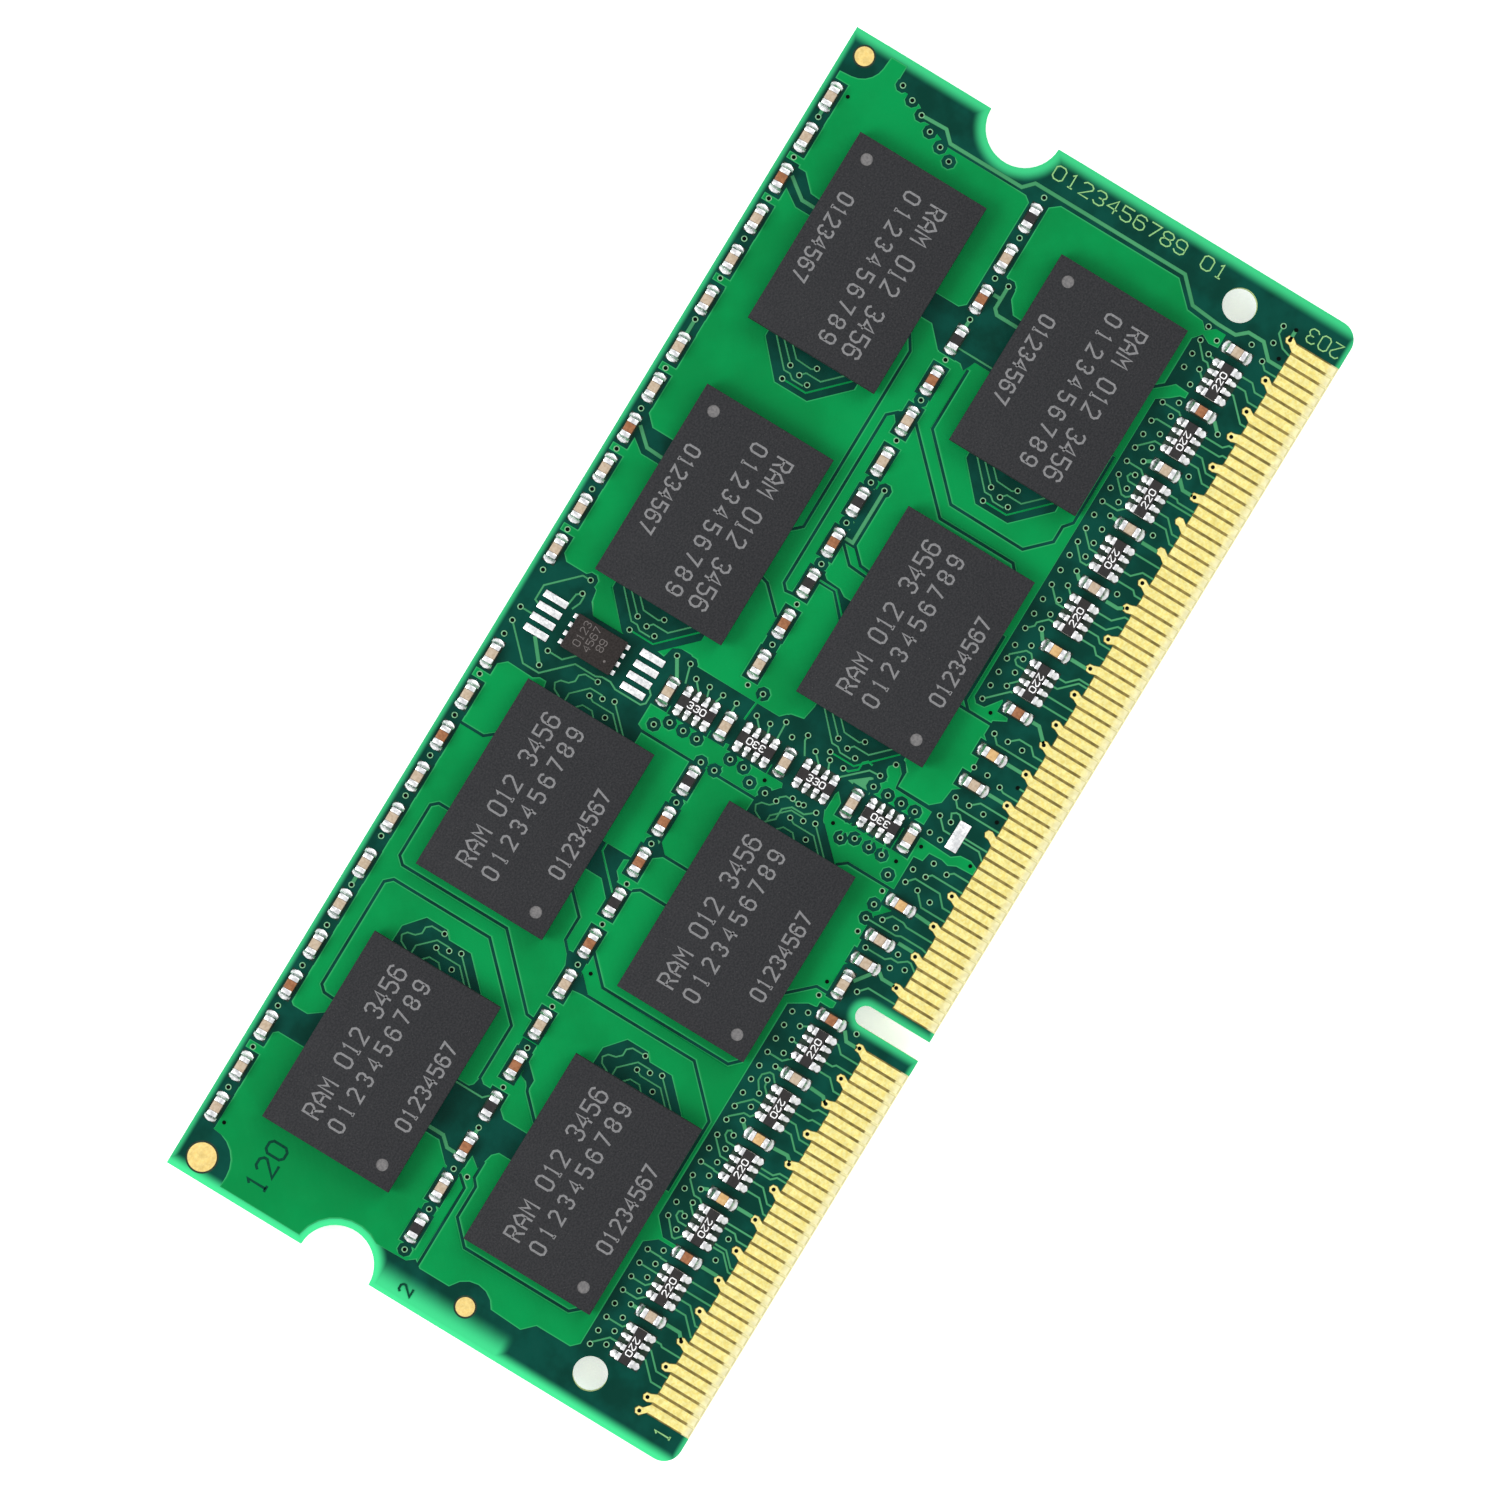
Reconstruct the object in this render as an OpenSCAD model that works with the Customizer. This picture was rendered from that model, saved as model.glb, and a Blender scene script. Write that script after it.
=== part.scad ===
// Small-outline memory module: a printed board with a gold edge connector,
// sixteen ball-grid memory packages, and the small parts soldered round them.
// Millimetres. X runs along the connector, Y from the connector edge to the
// top edge, Z out of the front face. The layout is written in board
// coordinates, which start at the lower left corner of the front face.

/* [Board] */
// Length of the board along the connector
board_l = 67.6; // [67.5:0.1:67.7]
// Height of the board from connector edge to top edge
board_w = 30; // [29.9:0.1:30.1]
// Finished thickness of the board
board_t = 1; // [0.8:0.1:1.2]
// Diameter of the two tooling holes
hole_d = 1.8; // [1.6:0.1:2]
// Radius of the latch notch in each short edge
notch_r = 2; // [1.9:0.05:2]
// Width of the key slot in the connector edge
key_w = 1.1; // [1:0.05:1.2]
// Depth of the key slot
key_depth = 4; // [3.8:0.1:4.1]

/* [Connector] */
// Width of one gold contact
contact_w = 0.45; // [0.35:0.05:0.5]
// Length of a plain contact
contact_l = 2.4; // [2.2:0.1:2.5]

/* [Copper and mask] */
// Thickness of one copper layer
copper_t = 0.03; // [0.02:0.005:0.04]
// Thickness of the solder mask film
mask_t = 0.03; // [0.02:0.005:0.04]
// Drilled diameter of a via
via_d = 0.17; // [0.14:0.01:0.2]
// Outer diameter of the copper ring round a via
ring_d = 0.36; // [0.32:0.01:0.4]

/* [Memory packages] */
// Length of a package
chip_l = 11; // [10.5:0.1:11.2]
// Width of a package
chip_w = 7.5; // [7.3:0.1:7.6]
// Height of a package above the board
chip_h = 1.1; // [1:0.05:1.2]
// Pitch of the solder balls
ball_pitch = 0.8; // [0.75:0.05:0.8]
// Diameter of a solder ball
ball_d = 0.45; // [0.35:0.05:0.5]

/* [Small parts] */
// Length of a chip capacitor or resistor
part_l = 1.05; // [0.95:0.05:1.1]
// Width of a chip capacitor or resistor
part_w = 0.52; // [0.48:0.02:0.56]
// Height of a chip capacitor
cap_h = 0.5; // [0.4:0.05:0.6]
// Height of a chip resistor or resistor array
res_h = 0.35; // [0.3:0.05:0.4]

/* [Hidden] */
$fn = 32;
eps = 0.01;
cap_kinds = ["tan", "brown", "amber"];

// heights of the layers, measured up from the laminate's outer face
film_z = copper_t;
seat_z = copper_t + mask_t;
laminate_t = board_t - 2 * seat_z;
ply_t = 0.2;
plane_t = 0.035;
plane_inset = 0.5;
core_t = laminate_t - 2 * ply_t;
// height of the middle of the board above the lowest package face
mid_z = chip_h + board_t / 2;

ball_h = 0.3;
substrate_t = 0.2;
mould_t = chip_h - ball_h - substrate_t;
die_inset = [1.2, 0.9];
die_t = 0.1;

// ---- where things are, in board coordinates ----
hole_y = 6;
hole_x = [2, board_l - 2];
notch_y = 20;
key_x = 24.8;
corner_r = 1;

pitch = 0.6;
contact_y = 0.1;
contact_top = contact_y + contact_l;
first_contacts = [for (i = [0 : 35]) 2.05 + i * pitch];
second_contacts = [for (i = [0 : 65]) 26.15 + i * pitch];
head_y = 2.9;
head_r = 0.23;
head_steps = 4;
head_x = [1.7, 2.5, 4.3, 5.8, 7.6, 9.45, 11.2, 13.05, 14.85, 16.35, 18.15, 19.95, 21.45, 23.25,
    26.85, 28.7, 30.5, 32.3, 37.7, 39.55, 41.3, 42.5, 44.3, 45.85, 47.6, 49.45, 50.95,
    56.05, 57.85, 59.65, 61.15, 63, 65.4];
plain_head_x = [35.95, 52.8, 54.6];

// lower left corner of each package, and whether it is turned half round
chip_low = 7.6;
chip_high = 19.55;
chip_x = [4.6, 19.6, 37.1, 52.05];
front_chips = [[chip_x[0], chip_high, false], [chip_x[1], chip_high, false],
    [chip_x[2], chip_high, true], [chip_x[3], chip_high, true],
    [chip_x[0], chip_low, false], [chip_x[1], chip_low, false],
    [chip_x[2], chip_low, false], [chip_x[3], chip_low, true]];
chip_count = len(front_chips);

// top row of capacitors and middle row of capacitors and resistors
top_y = 29.3;
top_left = [for (i = [0 : 6]) 3.75 + i * 2.415];
top_left_end = [for (i = [0 : 4]) 20.95 + i * 2.44];
top_right = [for (i = [0 : 5]) 36.95 + i * 2.4];
top_right_end = [for (i = [0 : 5]) 51.75 + i * 2.42];
top_x = concat(top_left, top_left_end, top_right, top_right_end);
top_brown = [3, 9, 15, 21];
mid_y = 17.4;
mid_left = [for (i = [0 : 11]) 3.75 + i * 2.42];
mid_right = [for (i = [0 : 11]) 37.3 + i * 2.414];
mid_x = concat(mid_left, mid_right);
mid_resistors = [0, 3, 8, 11, 14, 16, 20, 23];
mid_brown = [2, 4, 7, 9, 10, 13, 15, 19, 21];

// bottom row: four-resistor arrays with upright capacitors between them
low_y = 4.87;
array_x = [4.32, 7.85, 11.4, 14.9, 18.5, 22.05, 43.8, 47.7, 51.2, 54.75, 58.2, 61.7];
low_tan = [6.1, 20.25, 27.1, 28.5, 37.7, 49.45, 52.95, 56.45, 63.45];
low_brown = [9.6, 23.75, 42, 59.95];
low_amber = [13.1, 16.65, 30.55, 39.5, 45.7];
low_flat = [25.6, 5.3];

// middle column: lying capacitors with upright arrays between them
column_x = 33.7;
column_caps = [20.65, 17.25, 13.7, 9.7, 6.3];
column_arrays = [18.95, 15.4, 11.85, 8];

// small memory that stores the module's settings, and the bare pads by it
spd_at = [33.8, 25.1];
spd_l = 2.9;
spd_w = 1.95;
spd_h = 0.6;
bar_x = [32.8, 33.45, 34.1, 34.75];
bar_y = [27.25, 21.5];
bar_size = [0.42, 1.4];
link_pad = [35.05, 4.2];
link_size = [1.65, 0.7];
fiducials = [[1.16, 28.6, 1.5], [66.5, 28.9, 1], [1.6, 13.2, 1]];

// pads under the small parts
pad_out = 0.83;
pad_w = 0.7;
end_cap = 0.28;
array_l = 2;
array_w = 1;
array_pad = [[-0.8, 0.42], [-0.27, 0.32], [0.27, 0.32], [0.8, 0.42]];
array_end = 0.22;
coat_t = 0.05;
array_pad_out = 0.85;
pad_gap = 0.12;
moat_gap = 0.2;
hair = 0.01;

// ---- vias ----
function row(x, n, step, y) = [for (i = [0 : n - 1]) [x + i * step, y]];
upper_row_y = 6.8;
lower_row_y = 6.07;
edge_vias = concat(
    row(3.3, 8, 0.805, upper_row_y), row(10.95, 7, 0.8, upper_row_y), row(16.65, 9, 0.805, upper_row_y),
    row(41.7, 5, 0.8, upper_row_y), row(45.9, 5, 0.865, upper_row_y), row(50.25, 11, 0.8, upper_row_y),
    [[59.35, upper_row_y]], row(61.45, 4, 0.8, upper_row_y),
    row(3.7, 8, 0.8, lower_row_y), row(10.55, 8, 0.8, lower_row_y), row(17.05, 9, 0.8, lower_row_y),
    row(42.9, 4, 0.8, lower_row_y), row(46.3, 5, 0.86, lower_row_y), row(50.6, 10, 0.81, lower_row_y),
    [[58.95, lower_row_y], [59.75, lower_row_y]], row(60.85, 3, 0.9, lower_row_y));
low_vias = [[10.25, 3.55], [11.5, 3.55], [23.8, 3.4], [25.65, 4.5], [27.8, 5.3], [27.55, 3.7],
    [28.35, 3.7], [27.85, 3], [29.45, 5.3], [29.45, 4.5], [31.7, 5.3], [31.65, 4.55], [32.45, 5.3],
    [32.45, 4.55], [33.25, 4.55], [33.1, 3.7], [31.45, 3.7], [34.1, 2.9], [34.5, 5.55], [35.5, 5.55],
    [34.45, 4.9], [35.5, 4.9], [36.7, 5.35], [36.7, 4.55], [36.7, 3.7], [36.7, 2.9], [38.5, 5.35],
    [38.5, 4.55], [38.3, 3.7], [38.75, 2.9], [40.5, 5.35], [40.5, 4.55], [40.5, 3.7], [49.8, 3.7],
    [53.3, 3.7], [56.8, 3.7], [59.4, 3.55], [63.75, 3.55], [64.85, 3.55], [65.85, 3.55], [64.3, 2.9],
    [66, 2.9], [64.2, 4.45]];
top_via_x = [4.9, 7.3, 9.75, 12.15, 14.55, 16.95, 19.85, 22.25, 24.65, 27.05, 29.5, 31.9, 32.7, 33.5,
    35.7, 38.1, 40.5, 42.9, 45.3, 47.7, 50.6, 53.05, 55.4, 57.8, 60.25, 62.65];
moat_mid_x = [2.5, 4.9, 7.3, 9.75, 14.5, 19.45, 26.65, 29.1, 31.5, 38.5, 43.3, 45.75, 48.15,
    53.05, 57.85, 60.3, 62.7, 65.1];
tied_mid_x = [12.15, 16.95, 21.85, 24.25, 36.1, 40.9, 50.65, 55.45];
second_mid_y = 16.55;
moat_singles = [[31.5, second_mid_y], [36.1, 16.45], [48.15, second_mid_y], [60.3, second_mid_y],
    [29.1, lower_row_y], [29.9, lower_row_y], [31.55, 6.25], [31.9, 9.3], [32.25, 8.65], [32.25, 7.8],
    [32.25, 7.05], [32.35, 11], [32.35, 11.75], [32.35, 12.4], [31.8, 13.05], [31.85, 13.75],
    [31.9, 14.7], [32.4, 15.35], [32.4, 16.15], [32.4, 18.15], [32.4, 18.95], [32.4, 19.75],
    [31.9, 20.4], [35, 9.2], [35, 8.35], [35, 7.55], [35, 6.75], [35.65, 9.2], [35, 11], [35, 11.8],
    [35, 12.65], [35.5, 13.4], [35, 14.05], [35.5, 14.7], [35, 15.35], [35, 16.15], [35, 17.35],
    [35, 18.15], [35, 18.95], [35, 19.75], [35.5, 20.4], [35.5, 21.2], [31.45, 26.95],
    [32.3, 26.95], [35.7, 26.95], [36.5, 26.95], [66.25, 26.45], [65.85, 25.65], [65.45, 24.85],
    [64.95, 24.05], [64.55, 23.2], [64.15, 22.45]];
tied_singles = [[3.25, 28.55], [64.3, 28.55], [7.3, second_mid_y], [19.4, second_mid_y],
    [24.5, lower_row_y], [25.3, lower_row_y], [28.3, lower_row_y], [30.7, lower_row_y], [32.35, 6.25],
    [33.65, 5.55], [32.35, 10], [32.4, 14.1], [36.55, 8.8], [41.3, lower_row_y], [63.45, lower_row_y]];

// vias and traces that fan out from a package's end, measured from its corner
right_fan_vias = [[1.67, 4.4], [0.85, 4.4], [1.05, 3.75], [0.3, 3.15], [1.25, 3.15]];
left_fan_vias = [[-1.73, 4.4], [-0.93, 4.4], [-1.13, 3.75], [-1.35, 3.15], [-0.38, 3.15]];
right_window = [[-1, 6.5], [0.9, 6.45], [1.9, 5.6], [1.9, 4.4], [1.5, 4.05], [1.5, 2.75],
    [0, 1.25], [-1, 1.25]];
left_window = [[1, 6.3], [-0.3, 6.25], [-2.05, 4.65], [-2.05, 2.75], [-0.3, 1], [1, 1]];
right_fan = [
    [[-0.5, 5.3], [0, 5.7], [0.2, 6.1], [0.5, 6.25], [0.75, 6.05], [0.85, 5.65], [1.1, 5.4], [1.45, 5.4],
        [1.67, 5.15], [1.67, 4.4]],
    [[-0.5, 5.35], [0.4, 5.35], [1.2, 4.55], [1.2, 3.85], [1.05, 3.75]],
    [[-0.4, 5.05], [0.25, 4.45], [0.25, 3.9], [-0.3, 3.4]],
    [[0.85, 4.4], [0.67, 4.1], [0.67, 2.9], [-0.4, 1.85]],
    [[1.25, 3.15], [-0.4, 1.5]]];
left_fan = [
    [[0.4, 6.15], [-1.3, 4.55], [-1.3, 4.2], [-1.5, 3.95], [-1.5, 3.3]],
    [[0.4, 5.7], [-0.9, 4.4]],
    [[0.3, 5.1], [-0.5, 4.3], [-0.55, 3.4], [-0.4, 3.15]],
    [[-1.73, 4.4], [-1.73, 3], [0.3, 1]],
    [[-1.13, 3.75], [-0.85, 3.5], [-0.85, 2.65], [0.3, 1.5]]];
function shifted(pts, at) = [for (p = pts) p + at];
fan_ends = [for (c = front_chips) c[0] < column_x ? [[c[0] + chip_l, c[1]], true] : [[c[0], c[1]], false]];
fan_vias = [for (f = fan_ends) each shifted(f[1] ? right_fan_vias : left_fan_vias, f[0])];

moat_vias = concat(edge_vias, low_vias, moat_singles, [for (x = top_via_x) [x, top_y]],
    [for (x = moat_mid_x) [x, 17.35]], fan_vias);
tied_vias = concat(tied_singles, [for (x = tied_mid_x) [x, 17.35]]);
head_vias = [for (x = head_x) [x, head_y]];
all_vias = concat(moat_vias, tied_vias, head_vias);
// vias that stand inside a pour and are cleared from it
moat_points = concat(moat_singles, [for (x = moat_mid_x) [x, 17.35]]);

// ---- traces ----
thin_w = 0.11;
wide_w = 0.21;
array_low_y = low_y - array_pad_out;
array_high_y = low_y + array_pad_out - 0.1;
// from an array down to a contact: [x at array, x at contact, y where it turns]
pin_runs = [[4.05, 3.25, 3.95], [4.6, 3.85, 3.95], [5.15, 5.05, 3.7], [7.05, 6.25, 3.4],
    [7.6, 6.85, 3.45], [8.12, 8.12, 3.5], [8.68, 8.68, 3.5], [10.75, 10.05, 3.4], [10.95, 10.3, 3.35],
    [11.9, 11.65, 3.4], [12.18, 12.18, 3.5], [14.1, 13.5, 3.3], [14.65, 14.05, 3.4],
    [15.2, 15.45, 3.3], [15.45, 15.7, 3.3], [17.7, 17.1, 3.6], [18.25, 17.7, 3.65],
    [18.75, 18.9, 3.2], [19.3, 19.5, 3.25], [21.2, 20.7, 3.4], [21.75, 21.9, 3.6],
    [22.85, 22.5, 3.9], [43, 43, 3.5], [43.53, 43.53, 3.5], [44.1, 44.9, 3.8], [44.6, 45.1, 3.6],
    [46.9, 46.6, 3.3], [47.45, 47.2, 3.4], [47.95, 48.4, 3.25], [48.5, 49, 3.25],
    [50.4, 50.2, 3.1], [50.95, 51.4, 3.6], [52.03, 52.03, 3.5], [53.9, 53.35, 3.3],
    [54.45, 53.85, 3.5], [55.15, 55.15, 3.5], [55.5, 55.38, 3.6], [57.4, 56.85, 3.5],
    [57.95, 57.4, 3.6], [58.47, 58.6, 2.9], [58.95, 59.2, 3], [61.5, 60.45, 3.9],
    [62, 61.6, 3.5], [62.55, 62.2, 3.4]];
function pin_run(r) = [[r[0], array_low_y], [r[0], r[2]], [r[1], r[2] - abs(r[1] - r[0])],
    [r[1], contact_top]];
// from an array up to the row of vias: [x at array, x at via, y where it turns]
via_runs = [[4.1, 3.4, 6.1], [5.05, 4.9, 5.7], [6.85, 6.5, 5.6], [7.55, 7.3, 5.7], [8.12, 8.12, 6],
    [8.9, 8.93, 6], [14.1, 14.15, 6], [14.9, 15.6, 6.1], [18.25, 17.6, 6.15], [21, 20.67, 5.6],
    [42.75, 41.7, 5.75], [47.8, 48.45, 6.1], [51.05, 51.75, 6.1], [53.75, 53.45, 5.6],
    [57.45, 56.75, 6.1], [58.47, 58.35, 6.6], [59.25, 59.35, 5.7]];
function via_run(r) = [[r[0], array_high_y], [r[0], r[2]], [r[1], r[2] + abs(r[1] - r[0])],
    [r[1], upper_row_y]];
// runs with more than one turn
free_runs = [
    [[10.95, 6.8], [10.1, 6.05], [10.1, 5.9], [10.45, 5.6]],
    [[10.95, 5.7], [10.95, 6.2], [11.15, 6.45], [11.4, 6.45], [11.5, 6.3], [11.35, 6.07]],
    [[13.35, 6.8], [13.1, 6.8], [12.5, 6.2], [12.5, 5.85], [12.3, 5.6]],
    [[12.15, 6.07], [11.95, 6.05], [11.6, 5.7]],
    [[15.7, 5.7], [15.7, 6.2], [15.95, 6.45], [16.2, 6.45], [16.3, 6.3], [16.15, 6.07]],
    [[16.65, 6.8], [16.85, 6.8], [17.4, 6.2], [17.4, 5.85], [17.7, 5.6]],
    [[18.65, 6.07], [19.2, 6.45], [19.55, 6.45], [19.85, 6.15], [19.85, 5.95], [19.5, 5.65]],
    [[19.45, 6.07], [19.1, 6], [18.75, 5.65]],
    [[21.85, 6.07], [21.8, 5.7]], [[22.65, 6.07], [22.85, 5.7]],
    [[25.65, 4.5], [26.1, 4.1], [26.1, 2.5]],
    [[27.8, 5.3], [27.8, 4.15], [28, 3.9], [28, 3.5], [28.3, 3.1], [28.3, 2.9], [28, 2.5]],
    [[29.1, 6.07], [29.1, 4.3], [29.22, 4.05], [29.22, 2.8], [29.15, 2.5]],
    [[29.45, 5.3], [29.87, 4.95], [29.87, 4.3], [29.75, 4.05], [29.75, 2.5]],
    [[31.65, 4.55], [31, 3.95], [31, 2.5]],
    [[31.7, 5.3], [32.1, 4.95], [32.1, 3.5], [31.55, 3], [31.55, 2.5]],
    [[32.45, 4.55], [32.7, 4.3], [32.7, 2.5]], [[33.1, 3.7], [33.35, 3.4], [33.35, 2.5]],
    [[35.5, 5.55], [34.95, 5], [34.95, 4.6]], [[34.95, 3.9], [34.95, 2.9], [34.6, 2.5]],
    [[35.15, 3.9], [35.15, 2.5]],
    [[35.5, 4.9], [35.9, 5.1], [36.05, 4.9], [36.05, 4.7], [35.75, 4.4]],
    [[36.7, 5.35], [36.3, 5], [36.3, 2.5]], [[36.7, 4.55], [37.1, 4.1], [37.1, 2.5]],
    [[38.3, 3.7], [38.15, 3.4], [38.15, 2.5]], [[38.75, 2.9], [38.75, 2.5]],
    [[40.5, 5.35], [40.08, 4.95], [40.08, 2.5]],
    [[40.5, 4.55], [40.9, 4.1], [40.9, 3.4], [40.55, 3.05], [40.55, 2.5]],
    [[42.9, 6.07], [43.1, 6], [43.5, 5.6]],
    [[44.1, 6.8], [44.35, 6.8], [44.95, 6.15], [44.95, 5.85], [44.65, 5.6]],
    [[44.07, 5.7], [44.07, 6.2], [44.25, 6.4], [44.45, 6.37], [44.5, 6.07]],
    [[45.9, 6.8], [46.25, 6.45], [46.45, 6.45], [46.9, 6], [46.9, 5.7]],
    [[48.88, 6.07], [48.5, 5.65]], [[51.05, 6.8], [50.9, 6.75], [50.25, 6.15], [50.25, 5.8], [50.45, 5.65]],
    [[55.05, 6.8], [54.85, 6.75], [54.25, 6.15], [54.25, 5.9], [54.45, 5.65]],
    [[55.02, 5.7], [55.02, 6.2], [55.2, 6.38], [55.4, 6.3], [55.46, 6.07]],
    [[55.85, 6.8], [55.85, 5.95], [55.6, 5.65]], [[61.75, 6.07], [61.4, 5.7]],
    [[63.05, 6.8], [62.9, 6.75], [62.25, 6.15], [62.25, 5.9], [62, 5.65]], [[62.65, 6.07], [62.55, 5.7]],
    [[63.75, 3.55], [63.42, 3.2], [63.42, 2.5]], [[65.85, 3.55], [65.4, 3.55], [64.85, 3], [64.7, 2.5]],
    [[11.15, 19.9], [11.15, 18], [11.45, 17.7]], [[26.2, 19.7], [25.6, 19.3], [25.05, 19.3], [23.5, 17.75]],
    [[42.55, 17], [42.55, 16], [41.5, 15]], [[56.3, 17.1], [56.3, 15]],
    [[32.7, 29.3], [31.1, 27.7], [31.1, 26.75], [32.45, 25.4], [32.45, 24.2], [32.6, 23.9],
        [32.6, 23.4], [32.4, 23], [32.4, 21.5], [32.6, 21.3], [33.1, 21.3], [33.4, 21.6]],
    [[33.5, 29.3], [33.5, 28.6]], [[32.3, 26.95], [32.3, 26.1], [32.9, 25.5]],
    [[34.1, 28.6], [34.2, 28.85], [35.05, 28.85], [36.5, 27.4], [36.5, 26.95]],
    [[34.75, 27.3], [35.5, 27.2], [35.7, 26.95]], [[34.75, 27], [35.2, 26.8], [35.7, 26.8]],
    [[34.5, 16.6], [35.1, 16.55], [36.1, 16.45]], [[34.5, 15.7], [35, 16.15]], [[34.5, 15.2], [35, 15.35]],
    [[34.5, 14.65], [35.5, 14.7]], [[34.5, 13], [35.2, 13.4], [35.5, 13.4]], [[34.5, 12.15], [35, 12.65]],
    [[34.5, 11.6], [35, 11.8]], [[34.5, 10.95], [35.6, 9.8], [35.65, 9.2]],
    [[35, 11], [35, 10.7], [35.35, 10.3], [35.75, 10.3], [35.95, 10.1], [35.9, 9.8]],
    [[34.5, 20.1], [35.5, 20.4]], [[34.5, 19.3], [35, 19.75]], [[34.5, 18.8], [35, 18.95]],
    [[34.5, 18.3], [35, 18.15]], [[34.3, 17.35], [35, 17.35]],
    [[31.9, 9.3], [32.4, 9.3], [32.9, 8.8]], [[32.25, 8.65], [32.9, 8.2]], [[32.25, 7.8], [32.9, 7.8]],
    [[32.25, 7.05], [32.9, 7.2]],
    [[32.35, 11], [31.95, 11.5], [31.95, 12.2], [31.6, 12.6], [31, 12.6], [30.5, 13.1]]];
// wide runs
wide_runs = [
    [[6.15, 4], [6.15, 3.2], [5.8, 2.9]], [[9.6, 4], [9.6, 3.05]], [[13.1, 4], [13.1, 3.05]],
    [[16.65, 4], [16.7, 3.2], [16.45, 2.9]], [[20.25, 4], [20.2, 3.2], [19.95, 2.95]],
    [[23.65, 4], [23.2, 3.65], [23.2, 3]], [[27.1, 4.05], [26.87, 3.75], [26.87, 3]],
    [[28.85, 4], [28.85, 3.1]], [[30.55, 4], [30.5, 3.1]], [[37.7, 4], [37.7, 3.1]],
    [[39.5, 4], [39.5, 3.1]], [[42, 4], [42, 3.6], [41.35, 2.95]], [[45.75, 4], [45.75, 3.05]],
    [[49.2, 4], [49.2, 3.3], [49.4, 3]], [[52.7, 4], [52.7, 3.05]],
    [[56.5, 4.05], [56.05, 3.6], [56.05, 3]],
    [[59.9, 4.05], [59.4, 3.55]], [[6.1, 6.07], [6.1, 5.6]], [[9.75, 6.6], [9.75, 5.6]],
    [[13, 6.07], [13.15, 5.7]], [[17.05, 6.07], [16.7, 5.7]], [[20.25, 6.07], [20.25, 5.6]],
    [[46.3, 6.07], [45.8, 5.7]], [[49.75, 6.07], [49.4, 5.7]], [[53.03, 6.07], [53, 5.6]],
    [[56.27, 6.07], [56.5, 5.7]], [[26, 4.95], [26.8, 4.35]], [[65.4, 2.9], [66, 2.9]],
    [[8.5, 19.8], [8.5, 18.7], [8.05, 18.2], [8.05, 17.6]], [[9.2, 17.35], [9.75, 17.35]],
    [[58.75, 15], [58.75, 16.3], [59, 16.55], [60.3, 16.55]], [[59.55, 17], [59.55, 16.55]],
    [[45.05, 17], [45.05, 16.55], [48.15, 16.55]], [[44.55, 28.9], [43.75, 28], [43.7, 27]],
    [[59.4, 28.9], [58.6, 27.8], [58.6, 27]], [[16.95, 29.3], [17.7, 29.3]], [[49.6, 29.3], [50.6, 29.3]],
    [[31.45, 26.95], [32.6, 27.9]], [[34.5, 20.6], [35.5, 21.2]], [[62.7, 29.3], [63.2, 29.3]],
    [[57.85, 17.35], [57.3, 17.35]],
    [[65.45, 24.85], [65.5, 23.4], [64.97, 22.85], [64.97, 18.6], [65.5, 18.1], [65.5, 9.2], [64.35, 8.05],
        [64.2, 6.5], [64.2, 5.4], [64.65, 4.9], [64.65, 4], [63.95, 3.3], [63.95, 2.5]]];

// wide runs that cross a pour, which is cleared along them
cutting_runs = [for (r = wide_runs) if (r[0][1] > 7 && r[0][1] < 28) r];

// ---- copper pours: solid areas, bare windows and dividing grooves ----
// n + 1 points round c, from angle a to angle b
function arc(c, r, a, b, n) = [for (i = [0 : n])
    let (t = a + (b - a) * i / n) c + r * [cos(t), sin(t)]];
pour_low = 7.2;
pour_top = 28.85;
left_pour = concat(arc([0.9, pour_top], 1.8, 0, -90, 6),
    [[0.35, 27.05], [0.35, 22.3]], arc([0, notch_y], 2.35, 80, -32, 8),
    [[2.05, 17], [2.35, 16.6], [2.05, 16.2], [2.05, 14.45]], arc([1.6, 13.2], 1.3, 65, -65, 6),
    [[2.05, 10.2], [2.65, 9.6], [2.65, 7.6], [3.05, pour_low], [9.15, pour_low], [9.75, 6.45],
    [9.85, 6.45], [10.7, pour_low], [23.3, pour_low], [23.85, 6.3], [23.9, 5.9], [24.3, 5.1],
    [24.8, 5.1], [24.8, 5.8], [26.45, 5.8], [26.7, 5.6], [29.4, 5.75], [30.1, 5.1], [30.2, 5.6],
    [33, 5.6], [33.05, 5.1], [33.55, 5], [33.6, 4.3], [33.5, 3.9], [33.7, 3.5], [33.75, 2.5],
    [34.15, 2.5], [34.35, 3], [34.3, 3.6], [34, 4], [34.1, 6.6], [32.7, 9.5], [33.9, 10.6],
    [33.1, 10.9], [32.2, 10.5], [30.6, 9], [30.4, 9], [30.4, 13.95], [31.9, 13.95], [32.15, 13],
    [32.9, 13.3], [33.3, 14], [33, 16.8], [33.2, 18.1], [32.9, 18.6], [33.3, 21.1], [31.5, 21.1],
    [31.35, 20.75], [30.5, 20.75], [30.5, 26.1], [30.95, 26.2], [30.95, 26.6], [30.75, 26.9],
    [30.8, 28.4], [30.4, pour_top]]);
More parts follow.
